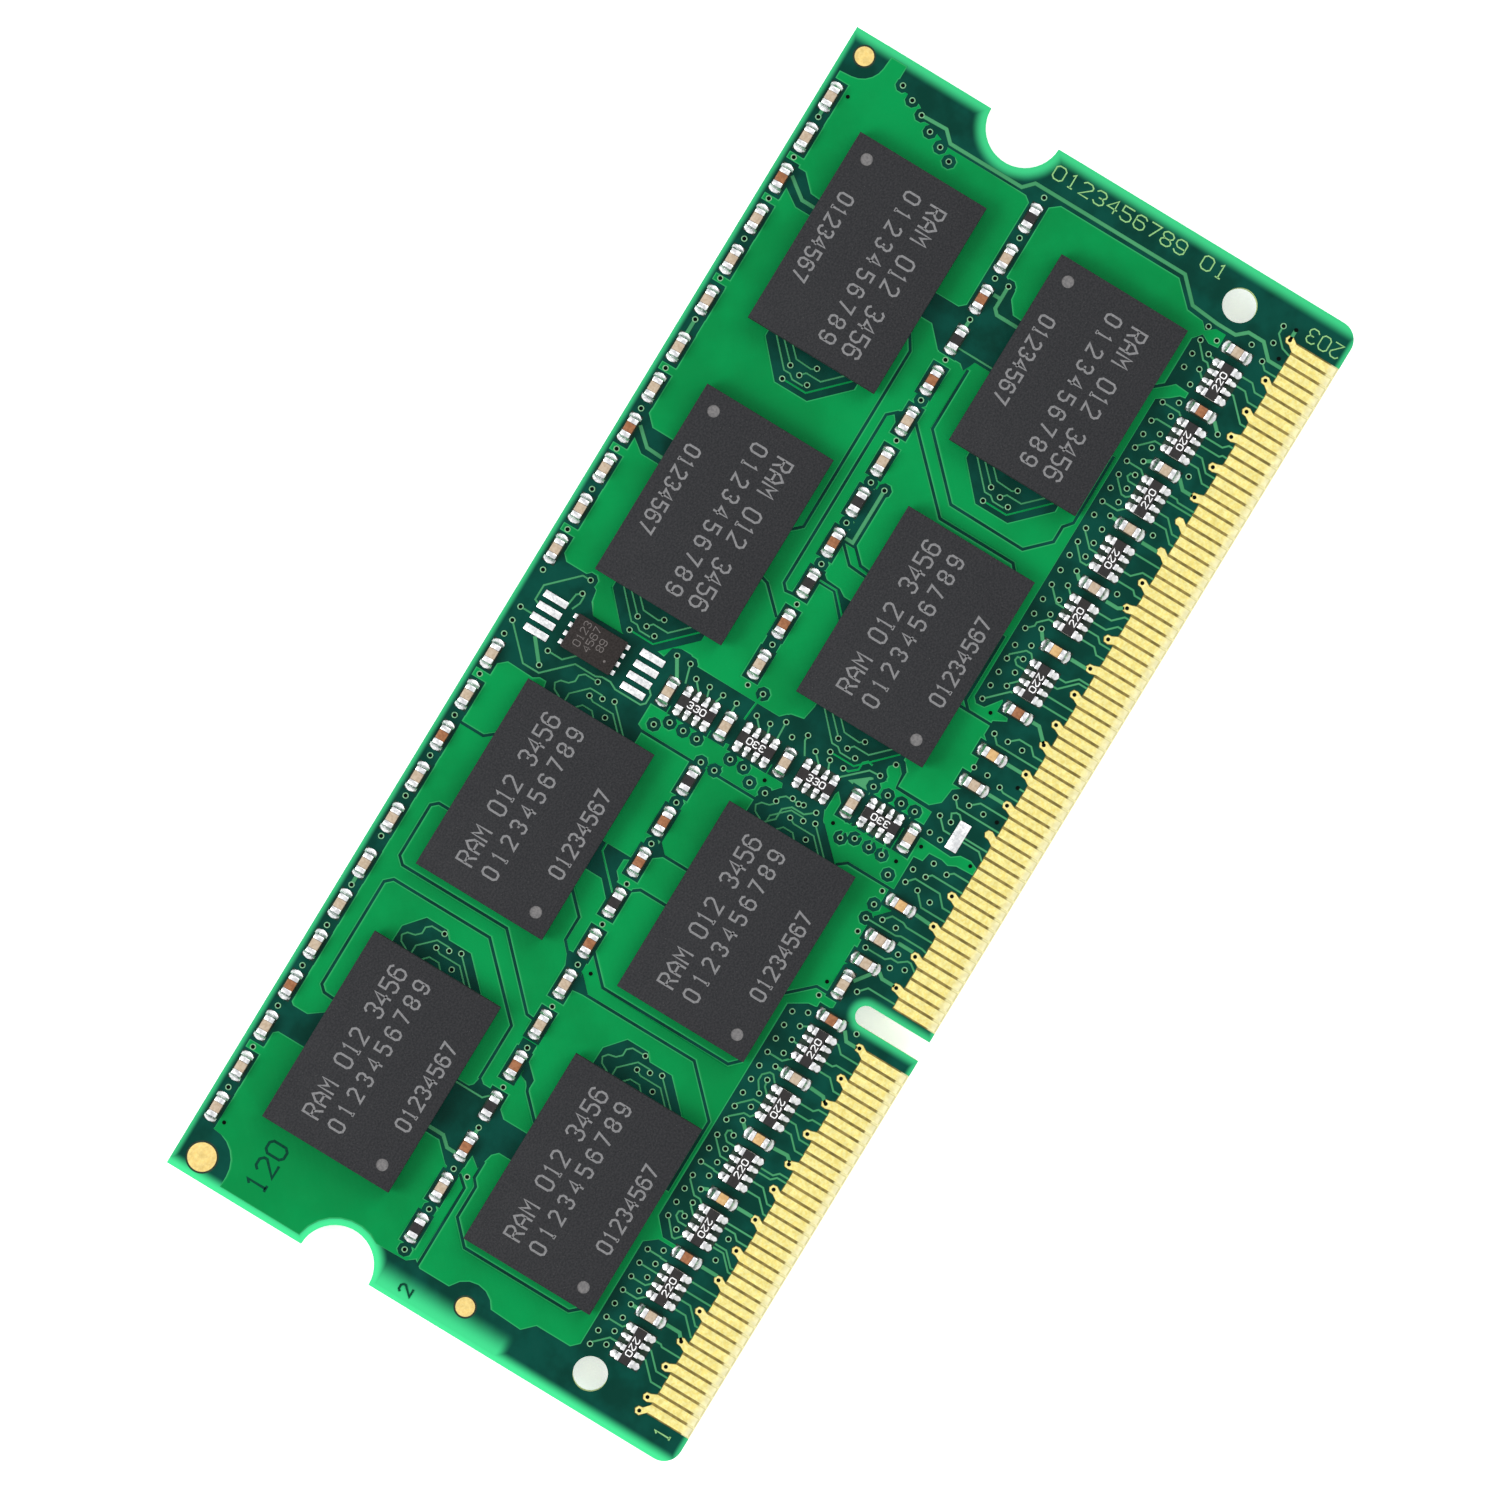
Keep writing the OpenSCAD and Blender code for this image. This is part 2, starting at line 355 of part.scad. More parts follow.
right_pour = concat([[37, pour_top], [36.65, 28.5], [36.65, 27.2], [36.2, 26.45], [35.6, 26.35], [35, 25.9],
    [35, 24.1], [35.2, 24.2], [37.3, 25.9], [37.3, 20.4], [35.2, 22.4], [35.1, 21.75], [35.7, 21.6],
    [35.9, 21.2], [35.9, 20.6], [35.55, 20.1], [35.55, 15.15], [35.95, 14.7], [36.1, 14],
    [37.2, 13.8], [37.2, 9.2], [36.9, 8.45], [36.5, 8.15], [35.65, 8.15], [35.65, 6.3], [36.1, 5.8],
    [36.95, 5.7], [37.25, 5.3], [39.9, 5.4], [40.2, 5.75], [41, 5.75], [41.35, 5.1], [41.6, 5.2],
    [42.2, 5.9], [41.4, 6.5], [41.35, 6.95], [41.6, pour_low], [59.3, pour_low], [59.7, 6.6],
    [60.05, 6.2], [60.1, 5.9], [60.45, 5.9], [60.5, 6.7], [60.05, pour_low], [62.9, pour_low],
    [63.35, 6.85], [63.1, 6.35], [63.15, 5.8], [63.95, 5.8], [63.95, 6.4], [63.6, 6.85],
    [63.95, pour_low], [64.05, 8.15], [65.2, 9.35], [65.2, 16.4], [64.8, 16.9], [60.65, 16.9],
    [60.3, 16.15], [59.8, 16.1], [59.15, 15.6], [59.1, 14.5], [56.1, 14.5], [56.1, 16], [55.45, 16.3],
    [55.7, 16.6], [55.7, 17.95], [56.7, 18.9], [56.7, 20], [58.1, 20], [58.1, 18.2], [58.4, 17.87],
    [64.5, 17.87], [64.75, 18.2], [64.75, 22.9], [65.1, 23.8], [65.6, 24.8], [66, 25.5],
    [66.05, 26.75], [67.2, 26.75], [67.2, 27.7], [66.6, 27.75]],
    arc([66.6, 29.05], 1.3, 265, 185, 5), [[65.25, 29.6], [64.75, 29.6], [64.75, pour_top]]);
column_pour = [[34.55, 6], [35.45, 6], [35.5, 8.2], [36.3, 8.3], [36.75, 8.7], [36.7, 9.1], [36.1, 9.1],
    [35.6, 8.8], [35.35, 9.6], [34.6, 10.5], [34.5, 9.9]];
low_patch = [[6.9, 16.4], [7.35, 16.87], [8.35, 16.87], [7.9, 16.35]];
pocket = [[23.95, 16.95], [23.95, 17.6], [24.55, 18.15], [25.25, 18.15], [25.4, 17.85], [25.4, 16.95]];
bare_windows = [
    [[8.2, 20], [8.2, 18.75], [7.3, 17.85], [7, 17], [8.4, 16.9], [7.95, 16.32], [8.9, 16.1],
        [9.2, 15.8], [9.2, 15], [10.75, 15], [10.75, 16.5], [11.1, 16.9], [11.75, 17], [11.75, 18.3],
        [12, 18.6], [11.5, 18.7], [11.3, 18.9], [11.3, 20]],
    [[18.2, 17], [19.2, 16.9], [18.45, 16.15], [18.3, 16.2]],
    [[19.05, 17], [19.05, 17.85], [19.6, 18.1], [19.85, 18.1], [19.85, 17]],
    [[13.15, 16.9], [13.95, 16.95], [13.25, 16.2], [12.6, 16.2], [13, 16.5]],
    [[26, 17], [27.05, 17], [26.45, 16.4]], [[31.2, 16.4], [31.9, 16.3], [31.5, 17]],
    [[23.85, 20], [23.85, 18.6], [23.05, 17.85], [25.5, 17.85], [25.5, 20]],
    [[8.4, 28.9], [8.65, 28.6], [8.65, 26.8], [10.9, 26.8], [10.15, 27.8], [10.15, 28.65], [10.35, 28.9]],
    [[42.4, 17], [43, 17], [42.75, 16.7], [42.7, 15.9], [42.45, 15.5], [42.45, 15],
        [41.2, 15], [42.4, 16.1]],
    [[45.1, 17], [48, 17], [48, 16.7], [45.2, 16.7]],
    [[43.95, 28.9], [43.35, 28.1], [43.35, 26.8], [44.75, 26.8], [44.75, 28.3], [45.35, 28.9]],
    [[58.8, 28.9], [58.15, 27.9], [58.15, 26.8], [59.05, 26.8], [59.1, 27.6], [59.9, 28.4], [59.9, 28.9]],
    [[51.4, 17.85], [52.1, 17.85], [51.85, 18.2]], [[14.25, 17], [14.85, 17], [14.85, 17.8], [14.25, 17.8]],
    [[38.2, 17], [38.85, 17], [38.85, 17.8], [38.2, 17.8]]];
groove_w = 0.14;
grooves = [
    [[1.9, 16.38], [6.75, 16.38], [7.25, 16.95]],
    [[4.6, 8.1], [4.15, 8.6], [4.15, 14.8], [5.3, 15.92], [7.1, 15.92], [7.45, 16.22], [8.4, 16.22]],
    [[11.5, 26.9], [11.55, 27.65], [11.85, 27.97], [17.95, 27.97], [18.3, 27.6], [18.3, 21.9],
        [15.05, 18.62], [11.9, 18.62]],
    [[22.8, 26.9], [22.8, 27.65], [22.5, 27.98], [19.5, 27.98], [19.15, 27.6], [19.15, 21.4],
        [15.95, 18.25], [15.9, 17.8]],
    [[22.7, 19.7], [21.55, 18.55], [20.2, 18.55], [19.5, 17.9]],
    [[18.35, 16.4], [18.35, 9.75], [16.1, 7.5], [12, 7.5]],
    [[20.45, 17], [19.1, 15.65], [19.1, 8.2], [19.6, 7.7]],
    [[11.4, 15], [12.6, 16.2], [13.1, 16.4]], [[24.05, 17], [24.35, 16.6], [24.35, 15]],
    [[26.45, 16.6], [26.45, 15]], [[31.3, 20.9], [31.3, 17.2]], [[31.35, 16.4], [31.35, 13.9]],
    [[23.6, 7.7], [24.82, 6.4], [24.82, 5.7]], [[30.6, 8.8], [31, 8.3], [31, 5.5]],
    [[26.9, 28.9], [26.9, 27.5], [27.4, 26.9]], [[44, 19.6], [44.45, 19.12], [54.9, 19.12], [55.8, 19.7]],
    [[41.25, 17.8], [41.2, 18.2], [41.5, 18.48], [51.5, 18.48], [51.95, 18]],
    [[41.2, 19.7], [41.05, 19.2], [39.8, 17.9]], [[44.85, 17], [43.98, 16.1], [43.9, 15]],
    [[48.3, 16.38], [45, 16.38], [44.25, 15.6], [44.2, 15]],
    [[51.95, 17], [48.4, 13.4], [48.4, 9.05], [47.9, 8.6]],
    [[55.6, 16.1], [52.1, 16.1], [49.3, 13.3], [49.25, 9], [50.4, 7.85], [51.3, 7.85],
        [51.75, 7.48], [55.7, 7.48]],
    [[40.8, 7.7], [40.8, 5.6]], [[45, 7.5], [41.2, 7.5], [40.8, 7.1]], [[59.7, 7.7], [60.4, 6.9]]];
// links from the pours to the top row: [x, width]
ties = [[7.3, 0.55], [29.5, 0.5], [38.1, 0.5], [42.9, 0.5], [47.7, 0.5], [53.05, 0.5],
    [57.8, 0.4], [60.25, 0.4]];

function is_in(i, list) = len(search(i, list)) > 0;

// ---- flat outlines ----

// the board's outline, drawn in from every edge by g
module board_outline(g = 0) {
    difference() {
        union() {
            box2(g, corner_r, board_l - g, board_w - g);
            box2(corner_r, g, board_l - corner_r, corner_r + eps);
            for (x = [corner_r, board_l - corner_r]) translate([x, corner_r]) circle(r = corner_r - g);
        }
        for (x = [0, board_l]) translate([x, notch_y]) circle(r = notch_r + g, $fn = 40);
        for (x = hole_x) translate([x, hole_y]) circle(d = hole_d + 2 * g);
        box2(key_x - key_w / 2 - g, -1, key_x + key_w / 2 + g, key_depth - key_w / 2);
        translate([key_x, key_depth - key_w / 2]) circle(d = key_w + 2 * g);
    }
}

function unit(v) = v / norm(v);

// the points w / 2 to one side of a route, with mitred corners
function beside(pts, w) = [for (i = [0 : len(pts) - 1])
    let (a = unit(pts[max(i, 1)] - pts[max(i, 1) - 1]),
        b = i < len(pts) - 1 ? unit(pts[i + 1] - pts[i]) : a,
        m = a + b)
    pts[i] + [-m[1], m[0]] * w / (m * m)];

// a band of width w along a route; points that repeat are passed over
module stroke(route, w) {
    pts = [for (i = [0 : len(route) - 1])
        if (i == 0 || norm(route[i] - route[max(i - 1, 0)]) > eps) route[i]];
    right = beside(pts, -w);
    polygon(concat(beside(pts, w), [for (i = [len(pts) - 1 : -1 : 0]) right[i]]));
}

module dots(points, d, sides) {
    for (p = points) translate(p) rotate(180 / sides) circle(d = d, $fn = sides);
}

module pins(points, d, h) {
    for (p = points) translate(p) cylinder(d = d, h = h, $fn = 16);
}

module box2(x0, y0, x1, y1) { translate([x0, y0]) square([x1 - x0, y1 - y0]); }

// the window in the mask round a two-ended part or an array, grown by g
module part_window(g) { square([2 * (pad_out + g), pad_w + 2 * g], center = true); }
module array_window(g) { square([array_l + 0.1 + 2 * g, 2 * (array_pad_out + g)], center = true); }

// children repeated at every place of one kind of small part; the middle
// column and the resistors of the middle row are on the front only
module at_caps(kind, front) {
    for (i = [0 : len(top_x) - 1])
        if (kind == (is_in(i, top_brown) ? "brown" : "tan")) translate([top_x[i], top_y]) children();
    for (i = [0 : len(mid_x) - 1])
        if (!is_in(i, mid_resistors) && kind == (is_in(i, mid_brown) ? "brown" : "tan"))
            translate([mid_x[i], mid_y]) children();
    low = kind == "tan" ? low_tan : kind == "brown" ? low_brown : low_amber;
    for (x = low) translate([x, low_y]) rotate(90) children();
    if (kind == "tan") translate(low_flat) children();
    if (kind == "tan" && front) for (y = column_caps) translate([column_x, y]) children();
}

module at_resistors(front) {
    if (front) for (i = mid_resistors) translate([mid_x[i], mid_y]) children();
}

module at_arrays(front) {
    for (x = array_x) translate([x, low_y]) children();
    if (front) for (y = column_arrays) translate([column_x, y]) rotate(90) children();
}

module at_pairs(front) {
    for (kind = cap_kinds) at_caps(kind, front) children();
    at_resistors(front) children();
}

module at_leads() {
    for (i = [0 : 3], s = [-1, 1])
        translate([spd_at[0] + (i - 1.5) * 0.5, spd_at[1] + s * (spd_l / 2 + 0.05)]) children();
}

module spare_pads_2d(g) {
    for (x = bar_x, y = bar_y)
        box2(x - bar_size[0] / 2 - g, y - g, x + bar_size[0] / 2 + g, y + bar_size[1] + g);
    translate(link_pad) square([link_size[0] + 2 * g, link_size[1] + 2 * g], center = true);
}

module ball_spots(c) {
    for (i = [0 : 12], j = [0 : 8]) if (j < 3 || j > 5)
        translate([c[0] + chip_l / 2 + (i - 6) * ball_pitch, c[1] + chip_w / 2 + (j - 4) * ball_pitch])
            cylinder(d = ball_d, h = ball_h, $fn = 16);
}

function head_pin(x) = x < key_x ? first_contacts[max(0, round((x - 2.05) / pitch))]
    : second_contacts[round((x - 26.15) / pitch)];

// outline of the contact at x, grown by g: a plain strip, or one that leads
// up to a round head
function contact_outline(x, g) =
    let (heads = [for (h = concat(head_x, plain_head_x)) if (abs(head_pin(h) - x) < eps) h],
        w = contact_w / 2 + g)
    concat([[x - w, contact_y], [x - w, contact_top]],
        len(heads) > 0 ? arc([heads[0], head_y], head_r + g, 200, -20, head_steps) : [],
        [[x + w, contact_top], [x + w, contact_y]]);

module contacts_2d(g) {
    for (x = concat(first_contacts, second_contacts)) polygon(contact_outline(x, g));
}

module contact_zone() {
    for (r = [[1.75, 23.35], [25.85, 65.45]]) box2(r[0], -1, r[1], contact_top + 0.04);
    contacts_2d(0.04);
}

module fiducial_spots(g) { for (f = fiducials) translate([f[0], f[1]]) circle(d = f[2] + 2 * g); }

module pours(front) {
    difference() {
        union() {
            polygon(left_pour);
            polygon(right_pour);
            polygon(column_pour);
            for (t = ties) box2(t[0] - t[1] / 2, pour_top - 0.1, t[0] + t[1] / 2, 29.65);
        }
        for (w = bare_windows) polygon(w);
        for (g = grooves) stroke(g, groove_w);
        for (f = fan_ends) translate(f[0]) polygon(f[1] ? right_window : left_window);
        dots(moat_points, ring_d + 2 * moat_gap, 8);
        at_pairs(front) part_window(pad_gap);
        at_arrays(front) array_window(pad_gap);
        for (r = cutting_runs) stroke(r, wide_w + 0.22);
        contact_zone();
    }
    polygon(low_patch);
    difference() {
        polygon(pocket);
        at_pairs(front) part_window(pad_gap);
    }
}

module traces() {
    for (r = pin_runs) stroke(pin_run(r), thin_w);
    for (r = via_runs) stroke(via_run(r), thin_w);
    for (r = free_runs) stroke(r, thin_w);
    for (r = wide_runs) stroke(r, wide_w);
    for (f = fan_ends, t = (f[1] ? right_fan : left_fan)) translate(f[0]) stroke(t, thin_w - 0.01);
}

// ---- placing on a face of the board ----
module on_face(front) {
    if (front) translate([-board_l / 2, -board_w / 2, mid_z + laminate_t / 2]) children();
    else translate([-board_l / 2, -board_w / 2, mid_z - laminate_t / 2]) mirror([0, 0, 1]) children();
}

module layer(z, t) { translate([0, 0, z]) linear_extrude(t) children(); }

// ---- laminate, planes and vias ----
module ply(z, t) {
    translate([-board_l / 2, -board_w / 2, z]) difference() {
        linear_extrude(t) board_outline();
        translate([0, 0, -eps]) pins(all_vias, via_d, t + 2 * eps);
    }
}

module core_laminate() { color([0.55, 0.52, 0.3]) ply(mid_z - core_t / 2, core_t); }

// a copper plane, set back from the board's edges and from every via
module plane(z, t) {
    translate([-board_l / 2, -board_w / 2, z]) difference() {
        linear_extrude(t) difference() {
            board_outline(plane_inset);
            translate([0, -1]) square([board_l, 1 + contact_top]);
        }
        translate([0, 0, -eps]) pins(all_vias, ring_d + 0.2, t + 2 * eps);
    }
}

module front_laminate() {
    color([0.5, 0.55, 0.35]) ply(mid_z + core_t / 2 + plane_t, ply_t - plane_t);
}

module back_laminate() {
    color([0.5, 0.55, 0.35]) ply(mid_z - core_t / 2 - ply_t, ply_t - plane_t);
}

module ground_plane() { color([0.8, 0.5, 0.3]) plane(mid_z + core_t / 2, plane_t); }

module power_plane() { color([0.8, 0.5, 0.3]) plane(mid_z - core_t / 2 - plane_t, plane_t); }

module via_barrels() {
    color([0.75, 0.5, 0.3]) translate([-board_l / 2, -board_w / 2, mid_z - laminate_t / 2])
        pins(all_vias, via_d, laminate_t);
}

// ---- one face's layers ----
module copper(front) {
    color([0.75, 0.45, 0.25]) on_face(front) {
        // drawn in and out again by a hair, which drops slivers and point contacts
        layer(0, copper_t) offset(delta = hair) offset(delta = -hair) pours(front);
        if (front) layer(0, copper_t) traces();
    }
}

module mask_film(front) {
    color([0.02, 0.45, 0.28]) on_face(front) layer(film_z, mask_t) difference() {
        board_outline();
        contact_zone();
        at_pairs(front) part_window(0);
        at_arrays(front) array_window(0);
        fiducial_spots(0.1);
        if (front) spare_pads_2d(0);
    }
}

module edge_contacts(front) { color([0.95, 0.85, 0.5]) on_face(front) layer(0, seat_z) contacts_2d(0); }

module fiducial_marks(front) {
    color([0.95, 0.75, 0.35]) on_face(front) linear_extrude(seat_z - 0.01) fiducial_spots(0);
}

module spare_pads() {
    color([0.85, 0.85, 0.87]) on_face(true) linear_extrude(seat_z + 0.02) spare_pads_2d(-0.02);
}

// ---- memory packages ----
module mould(c) {
    color([0.2, 0.2, 0.21]) translate([c[0], c[1], seat_z + ball_h + substrate_t])
        cube([chip_l, chip_w, mould_t]);
}

module substrates(front) {
    color([0.25, 0.3, 0.2]) on_face(front) for (c = front_chips)
        translate([c[0], c[1], seat_z + ball_h]) cube([chip_l, chip_w, substrate_t]);
}

module dies(front) {
    color([0.5, 0.5, 0.55]) on_face(front) for (c = front_chips)
        translate([c[0] + die_inset[0], c[1] + die_inset[1], seat_z + ball_h + substrate_t - die_t / 2])
            cube([chip_l - 2 * die_inset[0], chip_w - 2 * die_inset[1], die_t]);
}

module solder_balls(front) {
    color([0.8, 0.8, 0.82]) on_face(front) translate([0, 0, seat_z]) for (c = front_chips) ball_spots(c);
}

// ---- small parts ----
module cap_body() {
    translate([-part_l / 2 + end_cap, -part_w / 2, 0]) cube([part_l - 2 * end_cap, part_w, cap_h]);
}

module end_terminals(h) {
    for (s = [-1, 1]) translate([s * (part_l - end_cap) / 2 - end_cap / 2, -part_w / 2 - 0.01, 0])
        cube([end_cap, part_w + 0.02, h + 0.01]);
}

// a pad and the wedge of solder on it, up to the end face of a part
module fillet(base, face, width, rise) {
    rotate([90, 0, 0]) translate([0, 0, -width / 2]) linear_extrude(width)
        polygon([[face, 0], [base, 0], [base, seat_z + 0.02], [face, rise]]);
}

module cap_bodies(kind, front) {
    tint = kind == "tan" ? [0.8, 0.7, 0.55] : kind == "brown" ? [0.75, 0.43, 0.23] : [0.9, 0.7, 0.43];
    color(tint) on_face(front) translate([0, 0, seat_z]) at_caps(kind, front) cap_body();
}

module cap_terminals(front) {
    color([0.85, 0.85, 0.86]) on_face(front) translate([0, 0, seat_z])
        for (kind = cap_kinds) at_caps(kind, front) end_terminals(cap_h);
}

module resistor_bodies(front) {
    color([0.93, 0.93, 0.9]) on_face(front) translate([0, 0, seat_z]) {
        at_resistors(front) translate([-part_l / 2 + end_cap, -part_w / 2, 0])
            cube([part_l - 2 * end_cap, part_w, res_h - coat_t]);
        at_arrays(front) translate([-array_l / 2, -array_w / 2 + array_end, 0])
            cube([array_l, array_w - 2 * array_end, res_h - coat_t]);
    }
}

module resistor_coats(front) {
    color([0.12, 0.1, 0.1]) on_face(front) translate([0, 0, seat_z + res_h - coat_t]) {
        at_resistors(front) translate([-part_l / 2 + end_cap, -part_w / 2, 0])
            cube([part_l - 2 * end_cap, part_w, coat_t]);
        at_arrays(front) translate([-array_l / 2, -array_w / 2 + array_end, 0])
            cube([array_l, array_w - 2 * array_end, coat_t]);
    }
}

module resistor_terminals(front) {
    color([0.88, 0.88, 0.9]) on_face(front) translate([0, 0, seat_z]) {
        at_resistors(front) end_terminals(res_h);
        at_arrays(front) for (p = array_pad, s = [-1, 1])
            translate([p[0] - p[1] / 2, s * (array_w - array_end) / 2 - array_end / 2, 0])
                cube([p[1], array_end, res_h]);
    }
}

module solder_joints(front) {
    color([0.8, 0.8, 0.82]) on_face(front) {
        at_pairs(front) for (a = [0, 180]) rotate(a) fillet(pad_out, part_l / 2, pad_w - 0.04, 0.35);
        at_arrays(front) for (p = array_pad, a = [90, 270]) rotate(a)
            translate([0, a == 90 ? -p[0] : p[0]]) fillet(array_pad_out, array_w / 2, p[1] - 0.04, 0.25);
    }
}

module spd_chip() {
    color([0.2, 0.18, 0.18]) on_face(true) translate([spd_at[0] - spd_w / 2, spd_at[1] - spd_l / 2, seat_z])
        cube([spd_w, spd_l, spd_h]);
}

module spd_leads() {
    color([0.88, 0.88, 0.9]) on_face(true) translate([0, 0, film_z])
        at_leads() translate([-0.13, -0.15, 0]) cube([0.26, 0.3, 0.1]);
}

side_nodes = ["copper", "solder_mask", "edge_contacts", "fiducial_marks", "package_substrates",
    "package_dies", "solder_balls", "capacitors_tan", "capacitors_brown", "capacitors_amber",
    "capacitor_ends", "resistor_bodies", "resistor_coats", "resistor_ends", "solder_joints"];
mould_names = [for (i = [1 : chip_count]) str("memory_mould_front_", i)];
back_mould_names = [for (i = [1 : chip_count]) str("memory_mould_back_", i)];

core_laminate();
front_laminate();
back_laminate();
ground_plane();
power_plane();
via_barrels();
copper(true);  // copper_front
mask_film(true);  // solder_mask_front
edge_contacts(true);  // edge_contacts_front
fiducial_marks(true);  // fiducial_marks_front
substrates(true);  // package_substrates_front
dies(true);  // package_dies_front
solder_balls(true);  // solder_balls_front
cap_bodies("tan", true);  // capacitors_tan_front
cap_bodies("brown", true);  // capacitors_brown_front
cap_bodies("amber", true);  // capacitors_amber_front
cap_terminals(true);  // capacitor_ends_front
resistor_bodies(true);  // resistor_bodies_front
resistor_coats(true);  // resistor_coats_front
resistor_terminals(true);  // resistor_ends_front
solder_joints(true);  // solder_joints_front
copper(false);  // copper_back
mask_film(false);  // solder_mask_back
edge_contacts(false);  // edge_contacts_back
fiducial_marks(false);  // fiducial_marks_back
substrates(false);  // package_substrates_back
dies(false);  // package_dies_back
solder_balls(false);  // solder_balls_back
cap_bodies("tan", false);  // capacitors_tan_back
cap_bodies("brown", false);  // capacitors_brown_back
cap_bodies("amber", false);  // capacitors_amber_back
cap_terminals(false);  // capacitor_ends_back
resistor_bodies(false);  // resistor_bodies_back
resistor_coats(false);  // resistor_coats_back
resistor_terminals(false);  // resistor_ends_back
solder_joints(false);  // solder_joints_back
spare_pads();
spd_chip();  // settings_chip
spd_leads();  // settings_chip_leads
for (i = [0 : chip_count - 1])
    on_face(true) mould(front_chips[i]);
for (i = [0 : chip_count - 1])
    on_face(false) mould(front_chips[i]);
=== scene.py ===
import bmesh
import bpy
import math
from mathutils import Matrix, Vector
from mathutils.bvhtree import BVHTree


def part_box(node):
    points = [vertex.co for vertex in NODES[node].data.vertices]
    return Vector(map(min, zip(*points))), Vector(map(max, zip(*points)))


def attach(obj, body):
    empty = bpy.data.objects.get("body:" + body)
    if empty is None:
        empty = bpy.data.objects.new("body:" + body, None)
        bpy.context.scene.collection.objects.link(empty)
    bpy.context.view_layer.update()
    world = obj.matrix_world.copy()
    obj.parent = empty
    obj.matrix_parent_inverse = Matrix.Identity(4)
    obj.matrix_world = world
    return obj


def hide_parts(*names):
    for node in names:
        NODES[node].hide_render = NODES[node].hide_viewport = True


# The looks of a notebook memory module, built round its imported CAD. The board lies flat with its
# front face up, its long sides along X and its edge contacts at the low end of Y.
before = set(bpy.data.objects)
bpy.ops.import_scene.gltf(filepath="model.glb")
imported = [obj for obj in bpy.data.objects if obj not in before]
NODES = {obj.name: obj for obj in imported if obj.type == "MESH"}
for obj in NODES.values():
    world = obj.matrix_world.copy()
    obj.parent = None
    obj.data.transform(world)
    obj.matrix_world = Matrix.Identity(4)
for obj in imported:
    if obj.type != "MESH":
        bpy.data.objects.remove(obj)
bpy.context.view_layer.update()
MM = 0.001
SAME = 0.0005 * MM            # corners closer than this are one corner

# ---------------------------------------------------------------- the board's own measures
board_lo, board_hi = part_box("core_laminate")
HALF_L = board_hi.x
HALF_W = board_hi.y
MID_Z = (board_lo.z + board_hi.z) / 2
FILM = 0.03 * MM              # top of the solder mask over bare laminate
RIDGE = 0.06 * MM             # top of the solder mask over copper
RIM_TOP = FILM * 1.1          # top of the mask along the copper's outline, where it slopes down
MARK_BASE = FILM * 1.2        # where a mark over bare laminate lies
NOTCH_Y = -HALF_W + 20 * MM
NOTCH_R = 2.0 * MM
KEY_X = -HALF_L + 24.8 * MM
KEY_W = 1.1 * MM
KEY_TOP = -HALF_W + 4.0 * MM
HEAD_Y = -HALF_W + 2.9 * MM


def at(x, y):
    """A point given in millimetres from the board's lower left corner."""
    return Vector((x * MM - HALF_L, y * MM - HALF_W))


class Side:
    """One face of the board: heights are measured outwards from the laminate."""

    def __init__(self, name, face, sign):
        self.name, self.face, self.sign = name, face, sign

    def z(self, height):
        return self.face + self.sign * height

    def height(self, z):
        return (z - self.face) * self.sign

    def outwards(self):
        """Stands a form made for the front on this face."""
        return Matrix.Diagonal((1, 1, self.sign, 1))


FRONT = Side("front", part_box("front_laminate")[1].z, 1)
BACK = Side("back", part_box("back_laminate")[0].z, -1)
SIDES = (FRONT, BACK)


# ---------------------------------------------------------------- materials
def linear(r, g, b):
    """A colour given as the eye sees it, 0 to 255, as Blender wants it."""
    return tuple((c / 255) ** 2.2 for c in (r, g, b)) + (1.0,)


